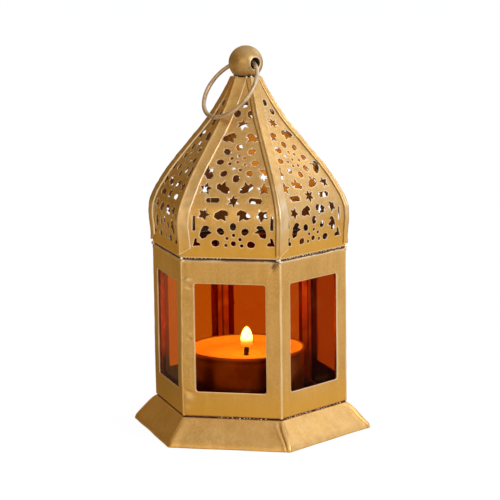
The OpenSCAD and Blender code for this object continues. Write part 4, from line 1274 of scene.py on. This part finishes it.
class Finish:
    """A material that is being made, or the nodes of a world. add() makes any node of it."""

    def __init__(self, owner):
        self.owner = owner
        self.owner.use_nodes = True
        self.tree = self.owner.node_tree
        self.tree.nodes.clear()

    def add(self, kind, settings=None, sockets=None, output=0):
        """A node of a kind: its settings first, a ramp's stops among them, then a value or a link for
        each named or numbered socket. Returns one of its outputs."""
        node = self.tree.nodes.new(kind)
        for name, value in (settings or {}).items():
            if name == "stops":
                ramp = node.color_ramp.elements
                for k, (place, colour) in enumerate(value):
                    stop = ramp[k] if k < 2 else ramp.new(place)
                    stop.position, stop.color = place, (*colour, 1)
            else:
                setattr(node, name, value)
        for name, value in (sockets or {}).items():
            if isinstance(value, Value):
                self.tree.links.new(value.socket, node.inputs[name])
            elif isinstance(value, tuple) and node.inputs[name].type == "RGBA":
                node.inputs[name].default_value = (*value, 1)
            else:
                node.inputs[name].default_value = value
        return Value(self, node.outputs[output]) if node.outputs else None

    def math(self, operation, *values):
        return self.add("ShaderNodeMath", {"operation": operation}, dict(enumerate(values)))

    def measure(self, operation, *vectors):
        """A number worked out from vectors: their DISTANCE or DOT_PRODUCT, or a LENGTH."""
        sockets = dict(enumerate(vectors))
        return self.add("ShaderNodeVectorMath", {"operation": operation}, sockets, "Value")

    def place(self):
        return self.add("ShaderNodeTexCoord", output="Object")

    def height(self):
        return self.add("ShaderNodeSeparateXYZ", None, {0: self.place()}, "Z")

    def mark(self, name):
        return self.add("ShaderNodeAttribute", {"attribute_name": name}, output="Fac")

    def ray(self, kind):
        return self.add("ShaderNodeLightPath", output=f"Is {kind} Ray")

    def noise(self, per_metre, detail=3.0, rough=0.55, stretch=(1, 1, 1)):
        """Noise over the piece's own coordinates, with a number of waves to the metre."""
        where = self.add("ShaderNodeMapping", None, {"Vector": self.place(), "Scale": stretch})
        sockets = {"Vector": where, "Scale": per_metre, "Detail": detail, "Roughness": rough}
        return self.add("ShaderNodeTexNoise", None, sockets)

    def mix(self, share, first, second):
        """One colour turning into another as the share goes from 0 to 1."""
        return self.add("ShaderNodeMix", {"data_type": "RGBA"}, {0: share, 6: first, 7: second}, 2)

    def blend(self, share, first, second):
        """One shader turning into another as the share goes from 0 to 1."""
        return self.add("ShaderNodeMixShader", None, {0: share, 1: first, 2: second})

    def bumps(self, height, depth, strength=1.0):
        return self.add("ShaderNodeBump", None, {"Height": height, "Distance": depth, "Strength": strength})

    def glow(self, colour, strength):
        return self.add("ShaderNodeEmission", None, {"Color": colour, "Strength": strength})

    def surface(self, **sockets):
        """A Principled shader, its sockets given by name with _ for a space."""
        named = {name.replace("_", " "): value for name, value in sockets.items()}
        return self.add("ShaderNodeBsdfPrincipled", None, named)

    def show(self, shader):
        self.add("ShaderNodeOutputMaterial", None, {"Surface": shader})
        return self.owner


def new_finish(name):
    return Finish(bpy.data.materials.new(name))


GOLD = (0.64, 0.34, 0.082)
GOLD_LIGHT = (0.71, 0.41, 0.12)
GOLD_DEEP = (0.55, 0.275, 0.056)
RUBBED_GOLD = (0.74, 0.5, 0.22)
# Warm gold of the painted reflection of the gold below, towards a foot
PAINTED_REFLECTION_GOLD = (0.70, 0.325, 0.022)
CUT_METAL_AND_HIGHLIGHT = (0.92, 0.735, 0.42)
STAIN = (0.30, 0.15, 0.035)
INSIDE_DARK = (0.105, 0.047, 0.015)
WARM_INSIDE_DARK = (0.46, 0.21, 0.07)
# Near-black painted shade for the ball's bore and its foot
BALL_PAINTED_SHADE = (0.03, 0.018, 0.01)
RED_SOOT = (0.07, 0.02, 0.012)
BELOW_ALL, ABOVE_ALL = -1.0, 1.0
# Height over which the painted reflection of the gold below warms the foot, and over which the soot inside
# sets in
PAINTED_REFLECTION_H = 15 * MM
SOOT_EDGE = 2 * MM


def gold_lacquer(
    name, tone=1.0, wear_and_highlight=0.0, rough=0.4, metal=0.85, within=INSIDE_DARK, foot=BELOW_ALL, sooty=ABOVE_ALL
):
    """Satin gold lacquer on sheet: cloudy in patches, finely grained, rubbed bright on its cut edges, and
    with painted highlights where the cut mark is set for them. It is darker inside, with painted shade
    where the inside mark is set for it, and sooty there above a height. It is warmer towards its foot:
    a painted reflection of the gold below it."""
    f = new_finish(name)

    def toned(colour):
        return tuple(c * tone for c in colour)

    grain = f.noise(1500, 3, 0.7)
    streak = f.noise(420, 3, 0.6, (1, 1, 0.12))
    inner, height = f.mark("inside"), f.height()
    colour = f.mix(f.noise(70, 4, 0.6).between(0.3, 0.72), toned(GOLD_DEEP), toned(GOLD))
    colour = f.mix((grain * 0.6 + streak * 0.4).between(0.38, 0.74), colour, toned(GOLD_LIGHT))
    colour = f.mix(f.noise(260, 4, 0.65).between(0.52, 0.72) * wear_and_highlight, colour, toned(RUBBED_GOLD))
    colour = f.mix(f.noise(210, 4, 0.7).between(0.5, 0.72) * wear_and_highlight * 0.6, colour, STAIN)
    # Warmer towards the foot: a painted reflection of the gold below it
    colour = f.mix(height.between(foot + PAINTED_REFLECTION_H, foot) * 0.65, colour, toned(PAINTED_REFLECTION_GOLD))
    # Bare metal on cut edges, and a painted highlight where a piece sets its cut mark for one
    colour = f.mix(f.mark("cut") * 0.75, colour, CUT_METAL_AND_HIGHLIGHT)
    # Darker on inner faces; the inside mark also carries painted shade in dents, in a groove and on the ball
    inside_colour = f.mix(height.between(sooty, sooty + SOOT_EDGE), within, RED_SOOT)
    colour = f.mix(inner * 0.93, colour, inside_colour)
    relief = grain * 0.5 + f.noise(330, 3, 0.5)
    return f.show(f.surface(
        Base_Color=colour, Metallic=(1 - inner * 0.85) * metal,
        Roughness=grain * 0.16 + inner * 0.3 + (rough - 0.08),
        Specular_Tint=(1.0, 0.82, 0.55), Normal=f.bumps(relief, 0.06 * MM, 0.75),
    ))


def rubbed_wire():
    """Drawn wire under worn lacquer, with fine marks along it and grey-brown in patches."""
    f = new_finish("rubbed_wire")
    marks = f.noise(900, 4, 0.7)
    patch = f.noise(180, 3, 0.6).between(0.35, 0.65)
    colour = f.mix(patch, (0.40, 0.235, 0.085), (0.62, 0.41, 0.19))
    colour = f.mix(marks.between(0.5, 0.75) * 0.6, colour, (0.78, 0.6, 0.36))
    return f.show(f.surface(
        Base_Color=colour, Metallic=0.6, Roughness=marks * 0.2 + 0.24,
        Normal=f.bumps(marks, 0.08 * MM, 0.8),
    ))


def solder():
    """Bright solder with dull spots."""
    f = new_finish("bright_solder")
    spots = f.noise(1400, 3, 0.6)
    colour = f.mix(spots.between(0.45, 0.6), (0.86, 0.65, 0.36), (0.42, 0.22, 0.07))
    return f.show(f.surface(Base_Color=colour, Metallic=0.55, Roughness=spots * 0.3 + 0.2))


def shaded_plate():
    """Bare plate that stands back in the seams and closes the base, painted dark as shade."""
    f = new_finish("plate_painted_shade")
    plate_patches = f.noise(300, 4, 0.6)
    colour = f.mix(plate_patches.between(0.4, 0.7), (0.045, 0.014, 0.005), (0.13, 0.055, 0.018))
    return f.show(f.surface(
        Base_Color=colour, Metallic=0.1, Roughness=plate_patches * 0.2 + 0.6, Specular_IOR_Level=0.05,
        Normal=f.bumps(plate_patches, 0.05 * MM),
    ))


# What the panes let through, cut from three sheets, and the film on them where they are smeared
AMBER = (0.64, 0.245, 0.03)
DOOR_AMBER = (0.60, 0.18, 0.02)
DEEP_AMBER = (0.43, 0.10, 0.008)
AMBER_FILM = (0.75, 0.27, 0.05)


def amber_glass(name, colour, smears):
    """Amber glass that lamps shine through: smooth, and dulled by a share where it is smeared."""
    f = new_finish(name)
    fog = f.noise(110, 4, 0.65, (1, 1, 1.6)).between(0.56, 0.8)
    glass = f.surface(
        Base_Color=colour, Roughness=fog * 0.08 + 0.01, Transmission_Weight=1.0, IOR=1.08,
        Specular_Tint=(0.05, 0.05, 0.05), Normal=f.bumps(f.noise(45, 2, 0.5), 0.09 * MM, 0.5),
    )
    film = f.surface(Base_Color=AMBER_FILM, Roughness=0.6, Specular_IOR_Level=0.0)
    through = tuple(math.sqrt(c) for c in colour)
    clear = f.add("ShaderNodeBsdfTransparent", None, {"Color": through})
    return f.show(f.blend(f.ray("Shadow"), f.blend(fog * smears, glass, film), clear))


# How far below the seam the smoke on the strips starts to show and is full
SMOKE_FROM, SMOKE_TO = 16 * MM, 4 * MM


def warm_lit_strip():
    """Strips that hold the glass: dull lacquer, its red-brown a painted warm light of the flame, and sooty
    at the top.
    """
    f = new_finish("strip_painted_warm_light")
    patch = f.noise(240, 4, 0.6)
    # Red-brown: painted warm light of the flame on the strips
    colour = f.mix(patch.between(0.4, 0.65), (0.58, 0.15, 0.03), (0.74, 0.29, 0.075))
    smoked = f.height().between(SEAM_Z - SMOKE_FROM, SEAM_Z - SMOKE_TO)
    colour = f.mix(smoked * 0.8, colour, (0.05, 0.02, 0.014))
    return f.show(f.surface(
        Base_Color=colour, Metallic=0.5, Roughness=patch * 0.2 + 0.3, Normal=f.bumps(patch, 0.05 * MM),
    ))


def candle_foil():
    """Pressed foil of the cup, with fine level lines and stains, in a dark brown that is painted shade,
    and a painted highlight on its rolled rim.
    """
    f = new_finish("candle_foil")
    lines = f.noise(500, 2, 0.5, (0.15, 0.15, 3))
    stain = f.noise(120, 4, 0.6).between(0.4, 0.7)
    # Dark brown: painted shade on the foil
    colour = f.mix(stain, (0.27, 0.19, 0.13), (0.17, 0.10, 0.065))
    colour = f.mix(f.mark("cut"), colour, (0.62, 0.42, 0.24))
    return f.show(f.surface(
        Base_Color=colour, Metallic=0.85, Roughness=lines * 0.2 + 0.26, Normal=f.bumps(lines, 0.04 * MM),
    ))


def lit_wax():
    """Wax lit through by the flame: it glows most near the wick, and is smooth where it has melted."""
    f = new_finish("lit_wax")
    cloud = f.noise(160, 3, 0.5)
    off = f.measure("DISTANCE", f.place(), (CANDLE[0], CANDLE[1], WAX_Z))
    swirl = f.noise(230, 4, 0.6, (0.5, 1.4, 1)).between(0.4, 0.66) * 0.6
    colour = f.mix(cloud.between(0.35, 0.7), (0.54, 0.36, 0.16), (0.66, 0.47, 0.24))
    light = f.mix(1 - off.between(MM, 1.25 * WAX_R), (0.74, 0.42, 0.09), (1.0, 0.7, 0.24))
    light = f.mix(swirl, light, (0.58, 0.31, 0.06))
    return f.show(f.surface(
        Base_Color=colour, Roughness=cloud * 0.15 + 0.25, Emission_Color=light,
        Emission_Strength=0.58, Normal=f.bumps(cloud, 0.12 * MM, 0.6),
    ))


def charred_wick():
    """Charred cotton: black in its hollows, and brown where its strands stand out."""
    f = new_finish("charred_wick")
    fibre = f.noise(2600, 3, 0.6, (1, 1, 0.3))
    colour = f.mix(fibre.between(0.4, 0.65), (0.012, 0.008, 0.006), (0.07, 0.04, 0.022))
    return f.show(f.surface(Base_Color=colour, Roughness=0.85, Normal=f.bumps(fibre, 0.08 * MM)))


def flame_light(name, strength, foot, tip, thickness):
    """The flame's light: white, with an orange and transparent foot. The given colours are its foot's
    and its body's, and the thickness is the share of what lies behind that its body hides."""
    f = new_finish(name)
    height = f.mark("height")
    colour = f.mix(height.between(0.1, 0.6) ** 6, foot, tip)
    return f.show(f.surface(
        Base_Color=(0.0, 0.0, 0.0), Emission_Color=colour, Emission_Strength=strength,
        Alpha=height.between(0.0, 0.42) ** 1.3 * thickness, Roughness=1.0, Specular_IOR_Level=0.0,
    ))


WHITE = (1.0, 1.0, 1.0)


def pale_stage(name):
    """Matt white that the camera, and what mirrors or passes it, sees as a white background. A share
    of its own shading stays, so the floor keeps the object's shadow. In mirrors its left is dim and
    warm, and so is what lies near the object."""
    f = new_finish(name)
    colour = f.mix(f.noise(30, 2, 0.5), (0.88, 0.88, 0.88), (0.92, 0.92, 0.92))
    camera_ray, mirror_ray, glass_ray = f.ray("Camera"), f.ray("Glossy"), f.ray("Transmission")
    side = f.measure("DOT_PRODUCT", f.place(), (1.0, -0.6, 0.0)).between(-0.12, 0.07)
    far = f.measure("LENGTH", f.place()).between(0.06, 0.35)
    light = f.mix(side, (1.0, 0.78, 0.2), (1.0, 0.98, 0.98))
    dim = f.glow(light, side * 0.7 + far * (1 - side) * 0.3 + 0.16)
    bright = f.blend(mirror_ray * (1 - glass_ray), f.glow(WHITE, 1.04), dim)
    own = f.surface(Base_Color=colour, Roughness=0.9)
    return f.show(f.blend((camera_ray + glass_ray + mirror_ray) * 0.9, own, bright))


# Making the pieces


def put(name, data):
    """An object with its data, placed in the scene."""
    thing = bpy.data.objects.new(name, data)
    bpy.context.scene.collection.objects.link(thing)
    return thing


def make(name, shape, body, finish, nodes=(), sharp=38):
    """A piece from a shape: its mesh with smooth faces and sharp edges past an angle, its point values
    as attributes, its material and the body that it rides on."""
    mesh = bpy.data.meshes.new(name)
    sizes = np.concatenate([np.full(len(face), face.shape[1]) for face in shape.faces])
    numbers = np.concatenate([face.ravel() for face in shape.faces])
    mesh.vertices.add(len(shape.points))
    mesh.vertices.foreach_set("co", shape.points.astype(np.float32).ravel())
    mesh.loops.add(len(numbers))
    mesh.loops.foreach_set("vertex_index", numbers.astype(np.int32))
    mesh.polygons.add(len(sizes))
    mesh.polygons.foreach_set("loop_start", (np.cumsum(sizes) - sizes).astype(np.int32))
    mesh.polygons.foreach_set("use_smooth", np.ones(len(sizes), bool))
    for mark, values in shape.marks.items():
        attribute = mesh.attributes.new(mark, "FLOAT", "POINT")
        attribute.data.foreach_set("value", np.asarray(values, np.float32))
    mesh.update(calc_edges=True)
    mesh.validate()
    mesh.set_sharp_from_angle(angle=math.radians(sharp))
    mesh.materials.append(finish)
    piece = put(name, mesh)
    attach(piece, body)
    if nodes:
        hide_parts(*nodes)
    return piece


def dress(node, finish, bevel=0.0):
    """A CAD node with its material, and with its edges softened where a bevel is given."""
    piece = frame["nodes"][node]
    if not piece.material_slots:
        piece.data.materials.append(finish)
    for held in piece.material_slots:
        held.material = finish
    if bevel:
        weld = piece.modifiers.new("weld", "WELD")
        weld.merge_threshold = 1e-6
        soft = piece.modifiers.new("bevel", "BEVEL")
        soft.width, soft.segments, soft.limit_method = bevel, 2, "ANGLE"
        soft.angle_limit = math.radians(35)


PLATE_BEVEL = 0.08 * MM
HINGE_BEVEL = 0.07 * MM
# The foot of sheet_gold and dome_gold is where their painted reflection of the gold below is full
sheet_gold = gold_lacquer("sheet_gold", within=WARM_INSIDE_DARK, foot=SIDE_Z, sooty=SEAM_Z - WINDOW_HEAD)
# A brighter copy of the gold: painted highlight on the corner folds
corner_gold_highlight = gold_lacquer("corner_gold_highlight", 1.25, rough=0.32)
dome_gold = gold_lacquer("dome_gold", 1.0, 0.25, foot=DOME_Z)
skirt_gold = gold_lacquer("skirt_gold", 1.1, 0.1, 0.42)
fitting_gold = gold_lacquer("fitting_gold", 0.88, 0.5, 0.36, 0.6)
ball_gold = gold_lacquer("ball_gold", 0.72, 0.7, 0.34, 0.6, BALL_PAINTED_SHADE)
glass = amber_glass("amber_glass", AMBER, 0.07)
door_glass = amber_glass("amber_glass_door", DOOR_AMBER, 0.3)
deep_glass = amber_glass("amber_glass_deep", DEEP_AMBER, 0.12)
strip_finish, wire_finish = warm_lit_strip(), rubbed_wire()
solder_finish, plate_finish = solder(), shaded_plate()

for number, (side, degrees) in enumerate(FACES.items()):
    seed = 100 + 10 * number
    shift = FRONT_SHIFT if side == "front" else 0
    cut_sizes = REAR_CUT_SHARES if side.startswith("rear") else FRONT_CUT_SHARES
    panel = panel_sheet(degrees, shift, seed, *cut_sizes)
    panel += fold_strip(degrees, seed + 5, FOLD_HIGHLIGHT.get(side, FOLD_HIGHLIGHT_ELSEWHERE))
    make(f"dome_sheet_{side}", panel, "lantern", dome_gold, [f"dome_panel_{side}"])
    if side == "rear":
        half, foot, head = extent("door_frame")[0] / 2, low("door_frame")[2], high("door_frame")[2]
        door = side_sheet(degrees, half, foot, head, seed)
        make("door_sheet", door, "door", sheet_gold, ["door_frame"])
        continue
    dents = FRONT_DENTS if side == "front" else ()
    wall = side_sheet(degrees, SIDE / 2, SIDE_Z, SEAM_Z, seed, dents, WINDOW_SLIPS.get(side, (0, 0)))
    make(f"body_sheet_{side}", wall, "lantern", sheet_gold, [f"side_{side}"])
    dress(f"pane_{side}", deep_glass if side == "rear_right" else glass)
    dress(f"channels_{side}", strip_finish)

make("corner_folds", corner_folds(300), "lantern", corner_gold_highlight)
make("skirt_sheet", skirt(), "lantern", skirt_gold, ["base_skirt"], 60)

# Where the solder shows in the seams: a side, and shares of its length
DOME_SEAM_RUNS = [
    ("front", 0.02, 0.42), ("front_right", 0.1, 0.98), ("rear_right", 0.2, 0.7), ("rear_left", 0.3, 0.9),
]
FOOT_SEAM_RUNS = [
    ("front", 0.36, 0.86), ("front_right", 0.08, 0.97), ("rear_right", 0.3, 0.8), ("rear_left", 0.1, 0.5),
]
SEAM_OUT = FLAT - 0.2 * MM
dome_beads = seam_beads((SEAM_Z + DOME_Z) / 2, SEAM_OUT, DOME_SEAM_RUNS, 201)
foot_beads = seam_beads((SKIRT_Z + SIDE_Z) / 2, SEAM_OUT, FOOT_SEAM_RUNS, 202)
make("seam_specks", dome_beads + foot_beads, "lantern", solder_finish)
make("corner_solder", corner_blobs(SEAM_Z, 203), "lantern", solder_finish)
# Dark plate in the seams and under the base: painted shade
dress("floor_plate", plate_finish, PLATE_BEVEL)
dress("dome_seam_ring", plate_finish, PLATE_BEVEL)
dress("dome_cap", fitting_gold, PLATE_BEVEL)

make("ball_solder", ball_blobs(77), "lantern", solder_finish)
make("ball", finial(), "lantern", ball_gold, ["finial_ball"], 50)
make("ring_wire", wire_ring(), "carrying_ring", wire_finish, ["carrying_ring"], 50)

dress("door_pane", door_glass)
dress("door_channels", strip_finish)
dress("hinge_leaves_door", fitting_gold, HINGE_BEVEL)
dress("hinge_leaves_body", fitting_gold, HINGE_BEVEL)
dress("hinge_pins", wire_finish, HINGE_BEVEL)
make("pull_knob", knob(), "door", fitting_gold, ["door_knob"])
make("latch_button", turn_button(), "turn_button", fitting_gold, ["turn_button"])
make("latch_rivet", rivet(), "lantern", fitting_gold, ["button_rivet"])

foil = candle_foil()
make("tealight_cup", candle_cup(), "candle", foil, ["candle_cup"])
make("tealight_wax", wax(), "candle", lit_wax(), ["candle_wax"])
make("tealight_wick", wick(), "candle", charred_wick(), ["candle_wick"])
dress("wick_foot", foil)
core_light = flame_light("flame_core_light", 130.0, (0.04, 0.022, 0.012), (0.95, 0.97, 1.0), 1.0)
glow_light = flame_light("flame_glow_light", 1.6, (0.3, 0.12, 0.01), (1.0, 0.8, 0.3), 0.3)
for name, grow, light in (("flame_core", 0.97, core_light), ("flame_glow", 1.12, glow_light)):
    piece = make(name, flame(grow), "candle", light)
    piece.visible_diffuse = piece.visible_glossy = piece.visible_shadow = False

# Stage, lamps and camera

STAGE_REACH = 6.0
STAGE_Z = -0.1 * MM
floor_mesh = bpy.data.meshes.new("floor")
corners = [(x * STAGE_REACH, y * STAGE_REACH, STAGE_Z) for x, y in ((-1, -1), (1, -1), (1, 1), (-1, 1))]
floor_mesh.from_pydata(corners, [], [(0, 1, 2, 3)])
floor_mesh.materials.append(pale_stage("pale_floor"))
floor = put("floor", floor_mesh)


def lamp(name, kind, place, aim, power, reach, colour=WHITE):
    """A lamp of a kind at a place, looking at a point. Its reach is the side of an area lamp, or the
    radius of another's bulb."""
    data = bpy.data.lights.new(name, kind)
    data.energy, data.color = power, colour
    setattr(data, "size" if kind == "AREA" else "shadow_soft_size", reach)
    thing = put(name, data)
    thing.location = place
    thing.rotation_euler = (Vector(aim) - Vector(place)).to_track_quat("-Z", "Y").to_euler()
    return thing


BODY_MIDDLE = (0, 0, 0.06)
SOFT_LAMP = 0.5
COOL = (0.93, 1.0, 1.14)
lamp("key_lamp", "AREA", (0.72, -0.4, 0.5), BODY_MIDDLE, 3.8, SOFT_LAMP, COOL)
lamp("front_lamp", "AREA", (-0.1, -0.9, 0.35), BODY_MIDDLE, 1.1, SOFT_LAMP)
lamp("rear_lamp", "AREA", (0.45, 0.6, 0.6), BODY_MIDDLE, 1.0, SOFT_LAMP, COOL)

# The flame's own light: round it, and as a beam up into the rear of the dome
FLAME_AT = (CANDLE[0], CANDLE[1], WICK_Z + 10 * MM)
GLOW_AT = (CANDLE[0], CANDLE[1], WICK_Z + 9 * MM)
GLOW_AIM = (7 * MM, 20 * MM, 86 * MM)
flame_lamp = lamp("flame_lamp", "POINT", FLAME_AT, BODY_MIDDLE, 0.034, 2 * MM, (1.0, 0.6, 0.17))
dome_glow = lamp("dome_glow", "SPOT", GLOW_AT, GLOW_AIM, 0.62, 3 * MM, (1.0, 0.66, 0.16))
dome_glow.data.spot_size, dome_glow.data.spot_blend = math.radians(38), 0.7
for inner_lamp in (flame_lamp, dome_glow):
    inner_lamp.visible_camera = inner_lamp.visible_transmission = inner_lamp.visible_glossy = False

# A pale studio: brightest and coolest towards the front right, dim and warm on the left, with the white
# backdrop behind. The camera, and what is seen through glass, gets plain white everywhere.
BRIGHT_SIDE = Vector((0.8, 0.15, 0.6)).normalized()
SKY_LOW, SKY_RISE = 0.16, 0.9
WARMTH = [(0.05, (1.12, 0.8, 0.18)), (1.0, (0.84, 1.02, 1.7)), (0.5, (0.97, 0.96, 1.03))]
world = bpy.data.worlds.new("studio")
bpy.context.scene.world = world
sky = Finish(world)
direction = sky.add("ShaderNodeTexCoord")
bright_share = sky.measure("DOT_PRODUCT", direction, BRIGHT_SIDE).between(-0.7, 0.95)
white_share = sky.measure("DOT_PRODUCT", direction, (0, 1, 0)).between(0.8, 0.95)
room = sky.math("MAXIMUM", bright_share * SKY_RISE + SKY_LOW, white_share)
seen = sky.ray("Camera") + sky.ray("Transmission")
warmth = sky.add("ShaderNodeValToRGB", {"stops": WARMTH}, {"Fac": bright_share})
tint = sky.mix(sky.math("MAXIMUM", seen, white_share), warmth, WHITE)
backdrop = sky.add("ShaderNodeBackground", None, {"Color": tint, "Strength": seen + (1 - seen) * room})
sky.add("ShaderNodeOutputWorld", None, {"Surface": backdrop})

# The camera, as fitted to the photo: its direction and roll, its distance from its target, and its lens
VIEW_TURN = math.radians(12.0486)
VIEW_LIFT = math.radians(10.0582)
VIEW_ROLL = math.radians(-0.8131)
VIEW_DISTANCE = 0.72866
VIEW_TARGET = Vector((0.00052, 0.00011, 0.059765))
LENS_MM, SENSOR_MM = 156.63, 36

level = Vector((math.cos(VIEW_TURN), math.sin(VIEW_TURN), 0))
away = Vector((math.sin(VIEW_TURN), -math.cos(VIEW_TURN), 0))
back = away * math.cos(VIEW_LIFT) + Vector((0, 0, math.sin(VIEW_LIFT)))
right = level * math.cos(VIEW_ROLL) + back.cross(level) * math.sin(VIEW_ROLL)
camera_data = bpy.data.cameras.new("camera")
camera_data.lens, camera_data.sensor_width = LENS_MM, SENSOR_MM
camera = put("camera", camera_data)
faced = Matrix((right, back.cross(right), back)).transposed().to_4x4()
camera.matrix_world = Matrix.Translation(VIEW_TARGET + back * VIEW_DISTANCE) @ faced
bpy.context.scene.camera = camera
bpy.context.scene.view_settings.view_transform = "Standard"
